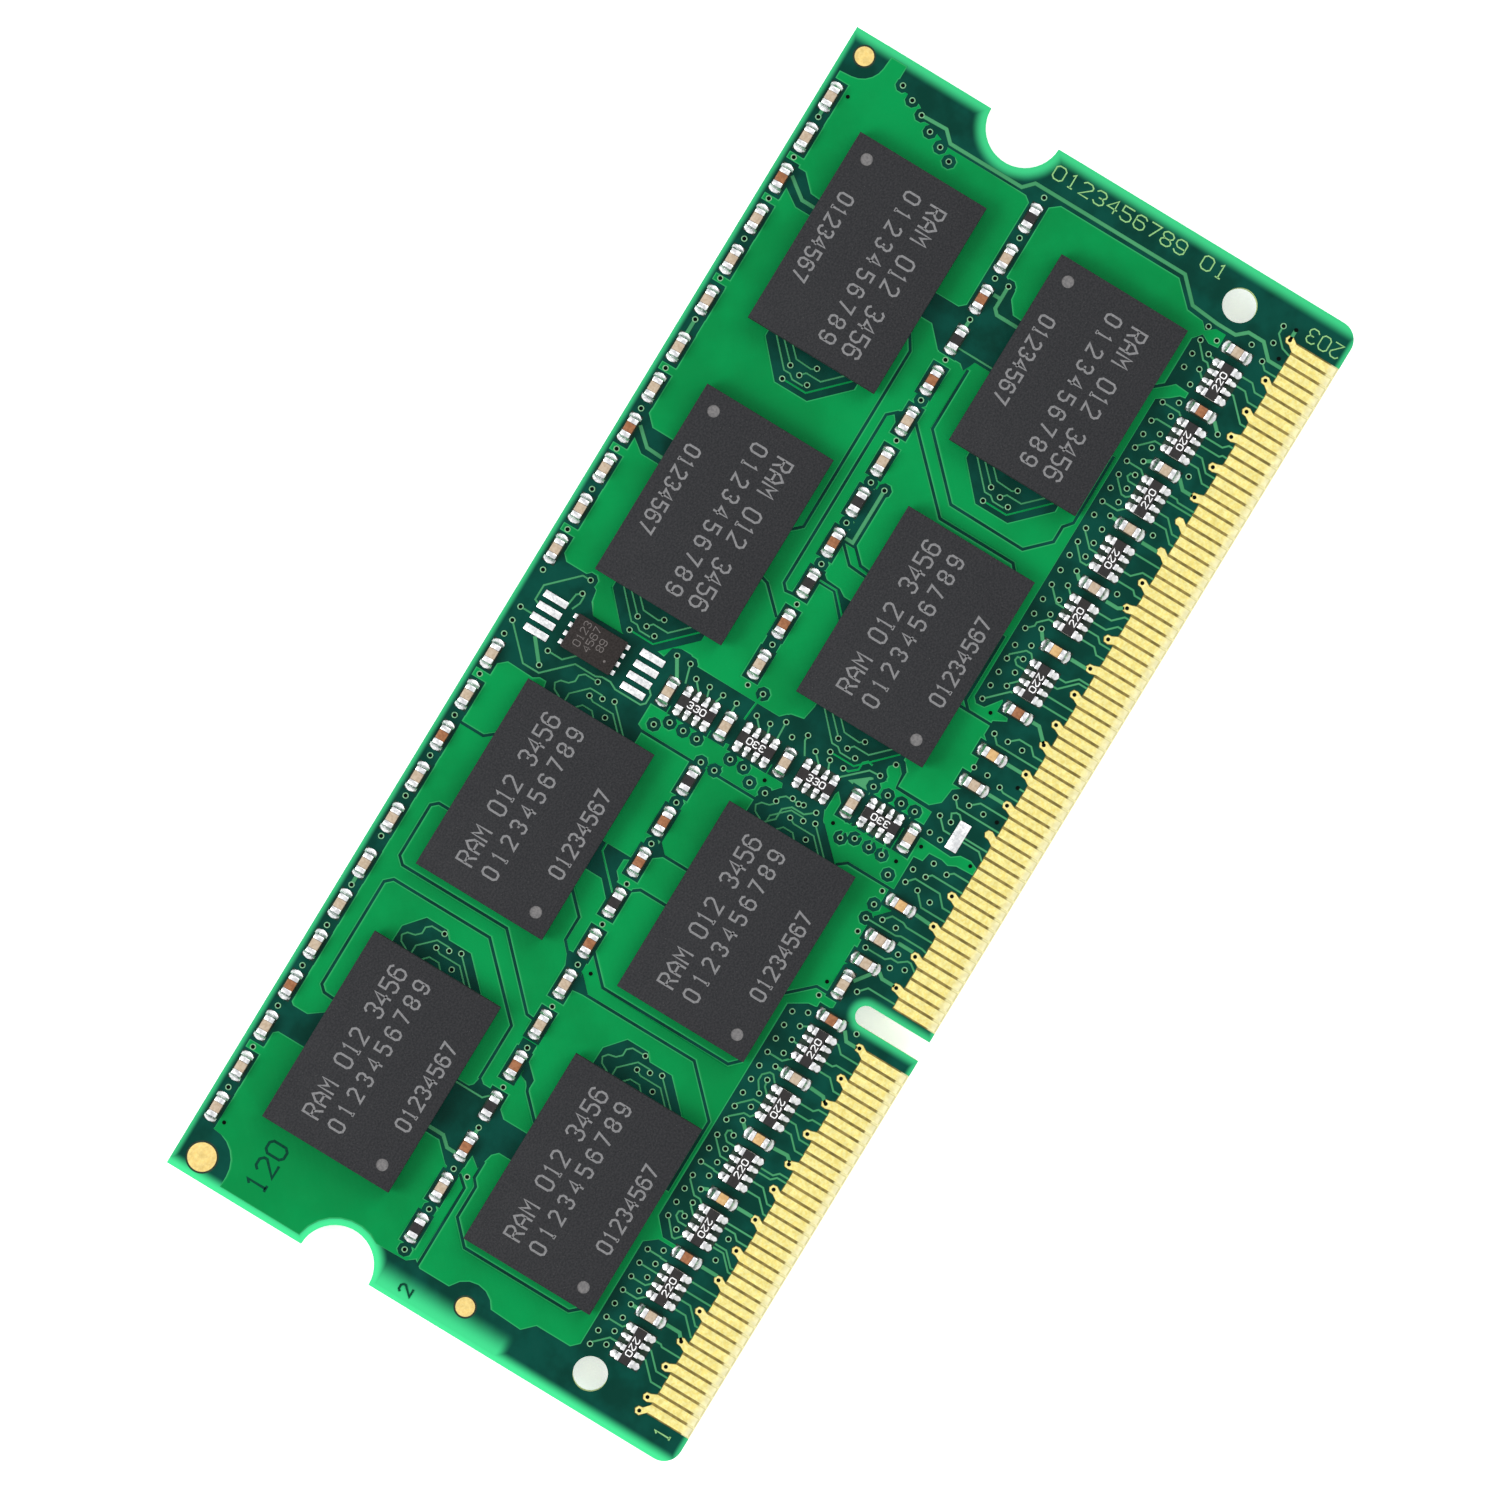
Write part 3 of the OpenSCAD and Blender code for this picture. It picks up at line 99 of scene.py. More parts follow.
class Nodes:
    """A material under construction, with short calls for the nodes it needs."""

    def __init__(self, name, rough=0.5, metal=0.0, specular=0.5):
        self.mat = bpy.data.materials.new(name)
        self.mat.use_nodes = True
        self.tree = self.mat.node_tree
        self.bsdf = self.tree.nodes["Principled BSDF"]
        self.bsdf.inputs["Metallic"].default_value = metal
        self.bsdf.inputs["Roughness"].default_value = rough
        self.bsdf.inputs["Specular IOR Level"].default_value = specular
        coords = self.tree.nodes.new("ShaderNodeTexCoord")
        self.place = coords.outputs["Object"]

    def put(self, socket, value):
        if isinstance(value, bpy.types.NodeSocket):
            self.tree.links.new(value, socket)
        else:
            socket.default_value = value

    def math(self, op, a, b=0.0):
        node = self.tree.nodes.new("ShaderNodeMath")
        node.operation = op
        self.put(node.inputs[0], a)
        self.put(node.inputs[1], b)
        return node.outputs[0]

    def axes(self):
        node = self.tree.nodes.new("ShaderNodeSeparateXYZ")
        self.put(node.inputs[0], self.place)
        return node.outputs

    def noise(self, size, detail=2.0, stretch=(1, 1, 1)):
        """Noise whose grains are about size metres across."""
        mapping = self.tree.nodes.new("ShaderNodeMapping")
        mapping.inputs["Scale"].default_value = stretch
        self.put(mapping.inputs["Vector"], self.place)
        node = self.tree.nodes.new("ShaderNodeTexNoise")
        self.put(node.inputs["Vector"], mapping.outputs[0])
        node.inputs["Scale"].default_value = 0.5 / size
        node.inputs["Detail"].default_value = detail
        return node.outputs["Fac"]

    def weave(self, pitch):
        """The glass cloth's threads, seen as a faint basket pattern."""
        x, y, _ = self.axes()
        rows = [self.math("SINE", self.math("MULTIPLY", c, 2 * math.pi / pitch)) for c in (x, y)]
        return self.math("MULTIPLY_ADD", self.math("MULTIPLY", *rows), 0.5)

    def spread(self, value, low, high, to_low=0.0, to_high=1.0):
        node = self.tree.nodes.new("ShaderNodeMapRange")
        node.interpolation_type = "SMOOTHSTEP"
        for socket, v in zip(node.inputs, (value, low, high, to_low, to_high)):
            self.put(socket, v)
        return node.outputs[0]

    def mix(self, factor, a, b):
        node = self.tree.nodes.new("ShaderNodeMix")
        node.data_type = "RGBA"
        self.put(node.inputs["Factor"], factor)
        self.put(node.inputs[6], a)
        self.put(node.inputs[7], b)
        return node.outputs[2]

    def colour(self, value):
        self.put(self.bsdf.inputs["Base Color"], value)

    def rough(self, value):
        self.put(self.bsdf.inputs["Roughness"], value)

    def bump(self, value, depth):
        node = self.tree.nodes.new("ShaderNodeBump")
        node.inputs["Distance"].default_value = depth
        node.inputs["Strength"].default_value = 1.0
        self.put(node.inputs["Height"], value)
        self.put(self.bsdf.inputs["Normal"], node.outputs[0])

    def edge_distances(self):
        """Distances inwards from the ends and notches, the long edges, and the key."""
        x, y, _ = self.axes()
        across = self.math("ABSOLUTE", x)
        side = self.math("SUBTRACT", HALF_L, across)
        top = self.math("SUBTRACT", HALF_W, self.math("ABSOLUTE", y))
        notch = self.math("SUBTRACT", self.length(side, self.math("SUBTRACT", y, NOTCH_Y)), NOTCH_R)
        above = self.math("MAXIMUM", self.math("SUBTRACT", y, KEY_TOP - KEY_W / 2), 0.0)
        key = self.math("SUBTRACT", self.length(self.math("SUBTRACT", x, KEY_X), above), KEY_W / 2)
        return self.math("MINIMUM", side, notch), top, key

    def length(self, a, b):
        squares = self.math("ADD", self.math("MULTIPLY", a, a), self.math("MULTIPLY", b, b))
        return self.math("SQRT", squares)

    def attribute(self, name):
        node = self.tree.nodes.new("ShaderNodeAttribute")
        node.attribute_name = name
        return node.outputs["Fac"]


def grained(name, light, dark, grain, rough=(0.4, 0.6), depth=0.002 * MM, **kinds):
    """A surface with two close tones in fine grains, uneven gloss and a fine bump."""
    m = Nodes(name, **kinds)
    m.colour(m.mix(m.spread(m.noise(grain, 3), 0.35, 0.65), linear(*dark), linear(*light)))
    m.rough(m.spread(m.noise(grain * 2.5), 0.3, 0.7, *rough))
    m.bump(m.noise(grain, 4), depth)
    return m.mat


def ceramic(name, light, dark):
    return grained(name, light, dark, 0.08 * MM, (0.45, 0.6), specular=0.4)


def ink(name, light, dark, rough=(0.5, 0.7), specular=0.5):
    return grained(name, light, dark, 0.05 * MM, rough, specular=specular)


def mask_on_laminate():
    """Dark mask over bare laminate, with a mint glow painted along the outline where light would
    come through.
    """
    m = Nodes("mask_on_laminate", specular=0.07)
    x, y, _ = m.axes()
    blot = m.noise(0.8 * MM, 4)
    body = m.mix(m.spread(blot, 0.35, 0.65), linear(2, 54, 45), linear(6, 66, 56))
    from_end, from_long_edge, from_key = m.edge_distances()
    # Just below its notch the painted glow reaches further in from the left end, as no copper lies
    # there.
    left = m.math("ADD", x, HALF_L)
    low, high = at(0, 10.4).y, at(0, 18.0).y
    above = m.spread(y, low - 0.3 * MM, low + 0.3 * MM)
    below = m.spread(y, high - 0.4 * MM, high + 0.4 * MM, 1, 0)
    beside = m.math("MULTIPLY", above, below)
    clear = m.math("MULTIPLY", m.spread(left, 0.3 * MM, 1.7 * MM, 0.85, 0), beside)
    # Painted glow: mint near the ends and notches, the long edges and the key, weaker towards the
    # right end.
    ends = m.spread(from_end, 0.12 * MM, 0.75 * MM, 1.0, 0.0)
    ends = m.math("MULTIPLY", ends, m.spread(x, 0, HALF_L, 1.0, 0.72))
    painted_glow = m.math("MAXIMUM", ends, m.spread(from_long_edge, 0.05 * MM, 0.35 * MM, 0.6, 0.0))
    painted_glow = m.math("MAXIMUM", painted_glow, m.spread(from_key, 0.05 * MM, 0.55 * MM, 0.65, 0.0))
    painted_glow = m.math("MAXIMUM", painted_glow, clear)
    m.colour(m.mix(painted_glow, body, linear(64, 206, 132)))
    m.rough(m.spread(m.noise(0.4 * MM), 0.3, 0.7, 0.28, 0.42))
    m.bump(m.math("ADD", m.weave(0.5 * MM), m.noise(0.12 * MM, 3)), 0.0025 * MM)
    return m.mat


def mask_on_copper(name, tone, deep, rim):
    """Bright mask over copper; the attribute rim is 1 on the outline and 0 inside it."""
    m = Nodes(name, specular=0.07)
    blot = m.noise(2.6 * MM, 4)
    body = m.mix(m.spread(blot, 0.35, 0.65), linear(*deep), linear(*tone))
    edge = m.attribute("rim")
    body = m.mix(m.spread(edge, 0.25, 0.75), body, linear(*rim))
    m.colour(m.mix(m.spread(edge, 0.86, 1.0), body, linear(4, 62, 48)))
    m.rough(m.spread(m.noise(0.5 * MM), 0.3, 0.7, 0.28, 0.42))
    m.bump(m.math("ADD", m.weave(0.5 * MM), m.noise(0.1 * MM, 3)), 0.0025 * MM)
    return m.mat


def laminate():
    """Glass-cloth board: brown between contacts, dark green round parts, pale at its cut edges."""
    m = Nodes("laminate", rough=0.6, specular=0.35)
    _, y, z = m.axes()
    low = m.math("ADD", y, HALF_W)
    off = m.math("ABSOLUTE", m.math("SUBTRACT", z, MID_Z))
    skin = m.spread(off, FRONT.face - MID_Z - 0.02 * MM, FRONT.face - MID_Z - 0.005 * MM)
    fibre = m.spread(m.noise(0.05 * MM, 3, (0.15, 0.15, 1.6)), 0.35, 0.65)
    cut = m.mix(fibre, linear(150, 178, 96), linear(196, 208, 140))
    grain = m.spread(m.noise(0.2 * MM, 3), 0.35, 0.65)
    between_contacts = m.mix(grain, linear(104, 92, 44), linear(138, 122, 66))
    round_parts = m.mix(grain, linear(16, 40, 30), linear(28, 56, 40))
    bare = m.mix(m.spread(low, 3.2 * MM, 3.4 * MM), between_contacts, round_parts)
    bare = m.mix(m.spread(low, 0.38 * MM, 0.52 * MM, 1, 0), bare, linear(212, 206, 156))
    m.colour(m.mix(skin, cut, bare))
    m.rough(m.spread(m.noise(0.3 * MM), 0.3, 0.7, 0.5, 0.72))
    m.bump(m.noise(0.06 * MM, 4, (0.3, 0.3, 1.5)), 0.006 * MM)
    return m.mat


def gold(name, light, dark):
    """Plated contact: pale satin gold with fine specks, paler at its lower end."""
    m = Nodes(name, metal=1.0)
    _, y, _ = m.axes()
    speck = m.spread(m.noise(0.06 * MM, 4), 0.3, 0.7)
    body = m.mix(speck, linear(*dark), linear(*light))
    worn = m.spread(m.math("ADD", y, HALF_W), 0.1 * MM, 0.7 * MM, 0.75, 0.0)
    m.colour(m.mix(worn, body, linear(250, 246, 206)))
    m.rough(m.spread(m.noise(0.15 * MM), 0.3, 0.7, 0.3, 0.46))
    m.bump(m.noise(0.05 * MM, 3), 0.0015 * MM)
    return m.mat


def mould_compound(name, light, dark):
    """Black filled resin with fine pale specks of filler."""
    m = Nodes(name, specular=0.1)
    body = m.mix(m.spread(m.noise(0.05 * MM, 4), 0.3, 0.7), linear(*dark), linear(*light))
    speck = m.spread(m.noise(0.025 * MM, 2), 0.66, 0.8)
    m.colour(m.mix(speck, body, linear(86, 85, 84)))
    m.rough(m.spread(m.noise(0.6 * MM), 0.3, 0.7, 0.55, 0.72))
    m.bump(m.noise(0.04 * MM, 4), 0.006 * MM)
    return m.mat


def solder(name, light, dark, rough):
    """Frozen bright metal with soft facets."""
    m = Nodes(name, metal=1.0)
    facets = m.spread(m.noise(0.12 * MM, 2), 0.35, 0.65)
    m.colour(m.mix(facets, linear(*dark), linear(*light)))
    m.rough(m.spread(m.noise(0.06 * MM, 3), 0.3, 0.7, *rough))
    m.bump(m.noise(0.1 * MM, 3), 0.012 * MM)
    return m.mat


MATERIALS = {
    "plate": mask_on_laminate(),
    "pour": mask_on_copper("mask_on_pour", (2, 132, 69), (2, 119, 61), (46, 150, 88)),
    "trace": mask_on_copper("mask_on_trace", (70, 140, 96), (60, 128, 86), (50, 120, 80)),
    "laminate": laminate(),
    "gold": gold("contact_gold", (255, 246, 168), (246, 226, 130)),
    "bare": gold("bare_plating", (252, 224, 146), (240, 208, 128)),
    "copper": grained("inner_copper", (200, 130, 84), (176, 106, 66), 0.1 * MM, metal=1.0),
    "silicon": grained("silicon", (92, 94, 104), (80, 82, 92), 0.1 * MM, (0.2, 0.3), metal=0.4),
    "mould": mould_compound("mould_compound", (52, 52, 54), (40, 41, 43)),
    "settings_mould": mould_compound("settings_mould", (52, 48, 47), (40, 37, 36)),
    "substrate": grained("package_substrate", (64, 58, 54), (40, 44, 38), 0.15 * MM, (0.4, 0.6)),
    "dimple": ink("package_dimple", (112, 110, 110), (96, 95, 96), specular=0.2),
    "ball": solder("solder_ball", (214, 214, 218), (180, 181, 186), (0.2, 0.4)),
    "solder": solder("solder_joint", (254, 254, 254), (226, 228, 230), (0.24, 0.44)),
    "tin": solder("tinned_end", (252, 252, 253), (220, 221, 224), (0.2, 0.4)),
    "tan": ceramic("ceramic_tan", (178, 161, 140), (164, 145, 122)),
    "brown": ceramic("ceramic_brown", (146, 96, 62), (128, 80, 48)),
    "amber": ceramic("ceramic_amber", (198, 162, 110), (184, 146, 94)),
    "alumina": grained("alumina", (236, 235, 228), (222, 220, 212), 0.06 * MM, (0.5, 0.65)),
    "coat": grained("resistor_glass", (30, 26, 26), (22, 19, 20), 0.06 * MM, (0.25, 0.4)),
    "ring": ink("via_ring", (124, 178, 134), (94, 148, 108), (0.3, 0.45)),
    # near-black well: painted shade for the inside of a via's hole
    "hole_shade": ink("via_hole_painted_shade", (7, 16, 13), (4, 10, 8), specular=0.05),
    "ink": ink("printed_marks", (122, 122, 123), (106, 106, 108), specular=0.2),
    "faint_ink": ink("faint_marks", (104, 99, 97), (88, 84, 83), specular=0.2),
    "white_ink": ink("white_marks", (240, 240, 240), (214, 214, 214)),
    "pale_mark": ink("pale_marks", (132, 182, 116), (112, 164, 98), (0.4, 0.6)),
    "dark_mark": ink("dark_marks", (4, 66, 50), (2, 56, 42), (0.4, 0.6), specular=0.07),
}


# ---------------------------------------------------------------- mesh helpers
class Shape:
    """Vertices and faces gathered for one piece; each face keeps a material number."""

    def __init__(self, materials):
        self.materials = materials
        self.verts, self.faces, self.kinds = [], [], []

    def add(self, verts, faces, kind=0):
        start = len(self.verts)
        self.verts += [Vector(v) for v in verts]
        self.faces += [[start + i for i in f] for f in faces]
        self.kinds += [kind] * len(faces)

    def solid(self, template, matrix, kind=0):
        """A template's copy, turned inside out again if the matrix mirrors it."""
        verts, faces = template
        flip = matrix.determinant() < 0
        self.add([matrix @ v for v in verts], [f[::-1] for f in faces] if flip else faces, kind)

    def piece(self, name, stands_for=(), smooth=35):
        mesh = bpy.data.meshes.new(name)
        mesh.from_pydata(self.verts, [], self.faces)
        for m in self.materials:
            mesh.materials.append(MATERIALS[m])
        mesh.polygons.foreach_set("material_index", self.kinds)
        mesh.validate()
        if smooth:
            mesh.shade_smooth()
            mesh.set_sharp_from_angle(angle=math.radians(smooth))
        return finished(bpy.data.objects.new(name, mesh), stands_for)


def finished(obj, stands_for=()):
    bpy.context.scene.collection.objects.link(obj)
    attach(obj, "root")
    if stands_for:
        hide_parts(*stands_for)
    return obj


def dress(node, material, bevel=0.0):
    """Gives a CAD node its material, and rounds its edges if bevel is more than 0."""
    obj = NODES[node]
    obj.data.materials.clear()
    obj.data.materials.append(MATERIALS[material])
    if bevel:
        mod = obj.modifiers.new("edges", "BEVEL")
        mod.width, mod.segments, mod.limit_method = bevel, 2, "ANGLE"
    return obj


def islands(node):
    """The separate solids of a CAD node, each as its list of corner points."""
    bm = bmesh.new()
    bm.from_mesh(NODES[node].data)
    bmesh.ops.remove_doubles(bm, verts=bm.verts, dist=SAME)
    seen, groups = set(), []
    for v in bm.verts:
        if v in seen:
            continue
        group, edge = [], [v]
        seen.add(v)
        while edge:
            w = edge.pop()
            group.append(w.co.copy())
            for e in w.link_edges:
                o = e.other_vert(w)
                if o not in seen:
                    seen.add(o)
                    edge.append(o)
        groups.append(group)
    bm.free()
    return groups


def extent(points):
    lo = Vector(min(p[i] for p in points) for i in range(3))
    hi = Vector(max(p[i] for p in points) for i in range(3))
    return lo, hi


def boxes(node):
    return [extent(g) for g in islands(node)]


def template(bm):
    verts = [v.co.copy() for v in bm.verts]
    index = {v: i for i, v in enumerate(bm.verts)}
    faces = [[index[v] for v in f.verts] for f in bm.faces]
    bm.free()
    return verts, faces


BLOCKS = {}


def block(size, radius, segments=2):
    """A box of that size round the origin, with rounded edges."""
    key = tuple(round(s / MM, 3) for s in size) + (radius,)
    if key not in BLOCKS:
        bm = bmesh.new()
        bmesh.ops.create_cube(bm, size=1, matrix=Matrix.Diagonal((*size, 1)))
        bmesh.ops.bevel(bm, geom=list(bm.edges), offset=radius, segments=segments,
                        affect="EDGES", profile=0.5)
        BLOCKS[key] = template(bm)
    return BLOCKS[key]


def lathe(profile, sides):
    """A template turned round Z from (radius, height) pairs, closed at both ends."""
    verts, faces = [], []
    turns = [2 * math.pi * k / sides for k in range(sides)]
    for r, h in profile:
        verts += [Vector((r * math.cos(a), r * math.sin(a), h)) for a in turns]
    for i in range(len(profile) - 1):
        for k in range(sides):
            a, b = i * sides + k, i * sides + (k + 1) % sides
            faces.append([a, b, b + sides, a + sides])
    faces.append(list(range(sides))[::-1])
    faces.append([(len(profile) - 1) * sides + k for k in range(sides)])
    return verts, faces


def rounded_parts(node, name, material, radius):
    """One piece of rounded blocks in place of a CAD node's plain ones."""
    shape = Shape([material])
    for lo, hi in boxes(node):
        shape.solid(block(hi - lo, radius), Matrix.Translation((lo + hi) / 2))
    return shape.piece(name, [node])


# ---------------------------------------------------------------- board, mask and copper
def mask_plate(side):
    """The film over bare laminate, from the CAD film with its top brought down."""
    node = "solder_mask_" + side.name
    bm = bmesh.new()
    bm.from_mesh(NODES[node].data)
    bmesh.ops.remove_doubles(bm, verts=bm.verts, dist=SAME)
    for v in bm.verts:
        v.co.z = side.z(FILM if side.height(v.co.z) > (FILM + RIDGE) / 2 else 0)
    return from_bmesh(bm, "mask_plate_" + side.name, ["plate"], [node])


def from_bmesh(bm, name, materials, stands_for=()):
    mesh = bpy.data.meshes.new(name)
    bm.to_mesh(mesh)
    bm.free()
    for m in materials:
        mesh.materials.append(MATERIALS[m])
    return finished(bpy.data.objects.new(name, mesh), stands_for)


def regions(faces):
    """Groups of faces that share edges."""
    left, groups = set(faces), []
    for f in faces:
        if f not in left:
            continue
        left.discard(f)
        group, edge = [], [f]
        while edge:
            g = edge.pop()
            group.append(g)
            for n in (n for e in g.edges for n in e.link_faces if n in left):
                left.discard(n)
                edge.append(n)
        groups.append(group)
    return groups


POUR_WIDTH = 0.22 * MM        # copper wider than this on average, and larger than
POUR_AREA = 0.9 * MM * MM     # this, is a pour; the rest are traces and rings
POUR_RIM = 0.11 * MM          # width of the paler band along a pour's outline
TRACE_RIM = 0.022 * MM
SPIKE = 1.8                   # how far past its rim's width a sharp corner may be inset


def mean_width(group):
    """Twice the area over the outline's length, which for a long strip is its width."""
    members = set(group)
    area = sum(f.calc_area() for f in group)
    outline = sum(e.calc_length() for f in group for e in f.edges
                  if len(members & set(e.link_faces)) == 1)
    return 2 * area / outline


def is_pour(group):
    return mean_width(group) > POUR_WIDTH and sum(f.calc_area() for f in group) > POUR_AREA


def turned_over(face, up):
    """Whether a flat face with three or four corners lies folded or twisted."""
    p = [v.co for v in face.verts]

    def area(a, b, c):
        return (p[b] - p[a]).cross(p[c] - p[a]).z * up

    if len(p) == 3:
        return area(0, 1, 2) < 0
    return min(area(0, 1, 2), area(0, 2, 3)) < 0 and min(area(1, 2, 3), area(1, 3, 0)) < 0


def unfold(group, rim, up, reach):
    """Draws inset corners back towards the outline where the inset has folded a face over."""
    partner = {}
    for v in {v for f in group for v in f.verts}:
        for e in v.link_edges:
            if e.other_vert(v)[rim] > 0.5:
                partner[v] = e.other_vert(v)
    for v, outer in partner.items():
        step = v.co - outer.co
        v.co = outer.co + step * min(1, reach / max(step.length, 1e-9))
    nearby = set(group) | {f for v in partner for f in v.link_faces}
    nearby = [f for f in nearby if len(f.verts) in (3, 4) and abs(f.normal.z) > 0.5]
    for _ in range(8):
        folded = {v for f in nearby if turned_over(f, up) for v in f.verts if v in partner}
        for v in folded:
            v.co = v.co.lerp(partner[v].co, 0.5)


def mask_relief(side, node, name, stands_for, mirror=None, keep=lambda group: True):
    """The raised film over copper: flat on top, with sides that slope to the laminate."""
    bm = bmesh.new()
    bm.from_mesh(NODES[node].data)
    bmesh.ops.remove_doubles(bm, verts=bm.verts, dist=SAME)
    shown = FRONT if mirror else side
    middle = (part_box(node)[0].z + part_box(node)[1].z) / 2
    outer = [f for f in bm.faces if (f.calc_center_median().z - middle) * shown.sign > 0
             and abs(f.normal.z) > 0.9]
    rim = bm.verts.layers.float.new("rim")
    doomed = []               # faces of the groups that aren't kept
    for group in regions(outer):
        if not keep(group):
            doomed += group
            continue
        pour = is_pour(group)
        ring = {e for f in group for e in f.edges if len(set(e.link_faces) & set(group)) == 1}
        for v in {v for e in ring for v in e.verts}:
            v[rim] = 1.0
        inset = POUR_RIM if pour else TRACE_RIM
        bmesh.ops.inset_region(bm, faces=group, thickness=inset,
                               use_boundary=True, use_even_offset=True)
        for v in {v for f in group for v in f.verts}:
            v[rim] = 0.0
        unfold(group, rim, shown.sign, SPIKE * inset)
        for f in group:
            f.material_index = 0 if pour else 1
        for v in {v for e in ring for v in e.verts}:
            for f in v.link_faces:
                f.material_index = 0 if pour else 1
    top = max(shown.height(v.co.z) for v in bm.verts)
    for v in bm.verts:
        h = shown.height(v.co.z)
        if h < top / 2:
            v.co.z = side.z(0)
        else:
            v.co.z = side.z(RIM_TOP if v[rim] > 0.5 else RIDGE)
    if mirror:
        bmesh.ops.reverse_faces(bm, faces=bm.faces)
    if doomed:
        gone = {v for f in doomed for v in f.verts}
        spread = list(gone)
        while spread:
            v = spread.pop()
            for e in v.link_edges:
                o = e.other_vert(v)
                if o not in gone:
                    gone.add(o)
                    spread.append(o)
        bmesh.ops.delete(bm, geom=list(gone), context="VERTS")
    return from_bmesh(bm, name, ["pour", "trace"], stands_for)


reliefs = {}
for side in SIDES:
    mask_plate(side)
    node = "copper_" + side.name
    reliefs[side] = mask_relief(side, node, "mask_relief_" + side.name, [node])


def small_and_clear(group):
    """Traces only, away from the middle column that the back face doesn't have."""
    x, y, _ = group[0].calc_center_median()
    column = at(30.9, 0).x < x < at(37, 0).x and y > at(0, 6.5).y
    return not is_pour(group) and not column


mask_relief(BACK, "copper_front", "mask_traces_back", (), mirror=True, keep=small_and_clear)

for node in ("core_laminate", "front_laminate", "back_laminate"):
    dress(node, "laminate")
for node in ("ground_plane", "power_plane", "via_barrels"):
    dress(node, "copper")

# ---------------------------------------------------------------- vias
# The ring and the well of a via, as (radius, height) in millimetres. The well is coloured near
# black as painted shade for the via's hole.
RING = [(0.165, 0.0), (0.165, 0.055), (0.155, 0.070), (0.130, 0.074), (0.110, 0.066),
        (0.100, 0.030)]
WELL = [(0.107, 0.0), (0.107, 0.070), (0.085, 0.065), (0.040, 0.063)]
WELL_DISH = 0.057 * MM        # a well in a contact's head stands on the gold up to here
BESIDE_RING = 0.27 * MM       # just past a ring, and inside the gap round it if it has one
ring_form = lathe([(r * MM, h * MM) for r, h in RING], 16)
well_form = lathe([(r * MM, h * MM) for r, h in WELL], 12)
via_spots = [(lo + hi) / 2 for lo, hi in boxes("via_barrels")]


def inside_pour(tree, spot):
    """Whether copper of a pour lies all round a via, without a gap."""
    around = [2 * math.pi * k / 8 for k in range(8)]
    points = [(spot.x + BESIDE_RING * math.cos(a), spot.y + BESIDE_RING * math.sin(a), 1)
              for a in around]
    return all(tree.ray_cast(p, (0, 0, -1))[0] is not None for p in points)


for side in SIDES:
    mesh = reliefs[side].data
    pour_faces = [list(p.vertices) for p in mesh.polygons if p.material_index == 0]
    tree = BVHTree.FromPolygons([v.co for v in mesh.vertices], pour_faces)
    shape = Shape(["ring", "hole_shade", "pour"])
    contact_face = side.height(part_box("edge_contacts_" + side.name)[0 if side is BACK else 1].z)
    for spot in via_spots:
        place = Matrix.Translation((spot.x, spot.y, side.face)) @ side.outwards()
        if abs(spot.y - HEAD_Y) < SAME:
            shape.solid(well_form, place @ Matrix.Translation((0, 0, contact_face - WELL_DISH)), 1)
        else:
            shape.solid(ring_form, place, 2 if inside_pour(tree, spot) else 0)
            shape.solid(well_form, place, 1)
    shape.piece("via_rings_" + side.name)

# ---------------------------------------------------------------- contacts and bare metal
for side in SIDES:
    dress("edge_contacts_" + side.name, "gold", 0.02 * MM)
    dress("fiducial_marks_" + side.name, "bare", 0.015 * MM)

# ---------------------------------------------------------------- small parts
for side in SIDES:
    for tone in ("tan", "brown", "amber"):
        slot = "ceramic_" + tone
        node = f"capacitors_{tone}_{side.name}"
        rounded_parts(node, f"{slot}_{side.name}", tone, 0.03 * MM)
    for part, radius in (("capacitor", 0.06 * MM), ("resistor", 0.04 * MM)):
        node = f"{part}_ends_{side.name}"
        rounded_parts(node, f"{part}_caps_{side.name}", "tin", radius)
    dress("resistor_bodies_" + side.name, "alumina", 0.01 * MM)
    dress("resistor_coats_" + side.name, "coat", 0.015 * MM)


def fillet_points(length, width, rise, foot):
    """A solder fillet that climbs to the part at x = 0 and thins out at x = length."""
    steps, across = 6, 6
    verts = []
    for i in range(steps + 1):
        s = i / steps
        half = width / 2 * math.sqrt(max(1 - s ** 5, 0.12))
        crown = foot + (rise - foot) * (1 - s) ** 2.1
        for j in range(across + 1):
            t = 2 * j / across - 1
            lift = crown * (1 - 0.35 * abs(t) ** 3) * (1 - 0.3 * s ** 6)
            verts.append(Vector((s * length, t * half, lift)))
    top = len(verts)
    verts += [Vector((v.x, v.y, 0)) for v in verts]
    n = across + 1
    faces = []
    for i in range(steps):
        for j in range(across):
            a = i * n + j
            faces.append([a, a + n, a + n + 1, a + 1])
            faces.append([top + a, top + a + 1, top + a + n + 1, top + a + n])
    for i in range(steps):
        a, b = i * n, (i + 1) * n
        faces.append([a, top + a, top + b, b])
        a, b = a + across, b + across
        faces.append([a, b, top + b, top + a])
    for j in range(across):
        faces.append([j, j + 1, top + j + 1, top + j])
        a = steps * n + j
        faces.append([a, top + a, top + a + 1, a + 1])
    return verts, faces


FOOT = 0.08 * MM              # a fillet's height at its outer end


def joint(side, points):
    """The fillet that stands for a plain CAD joint with these corners, and its place."""
    lo, hi = extent(points)
    centre, size = (lo + hi) / 2, hi - lo
    peak = max(side.height(p.z) for p in points)
    high = [p for p in points if side.height(p.z) > peak * 0.9]
    lean = centre - sum(high, Vector()) / len(high)
    if abs(lean.x) > abs(lean.y):
        turn = 0 if lean.x > 0 else math.pi
        length, width = size.x, size.y
        start = (high[0].x, centre.y, side.face)
    else:
        turn = math.pi / 2 if lean.y > 0 else -math.pi / 2
        length, width = size.y, size.x
        start = (centre.x, high[0].y, side.face)
    place = Matrix.Translation(start) @ Matrix.Rotation(turn, 4, "Z") @ side.outwards()
    return fillet_points(length, width, peak, FOOT), place


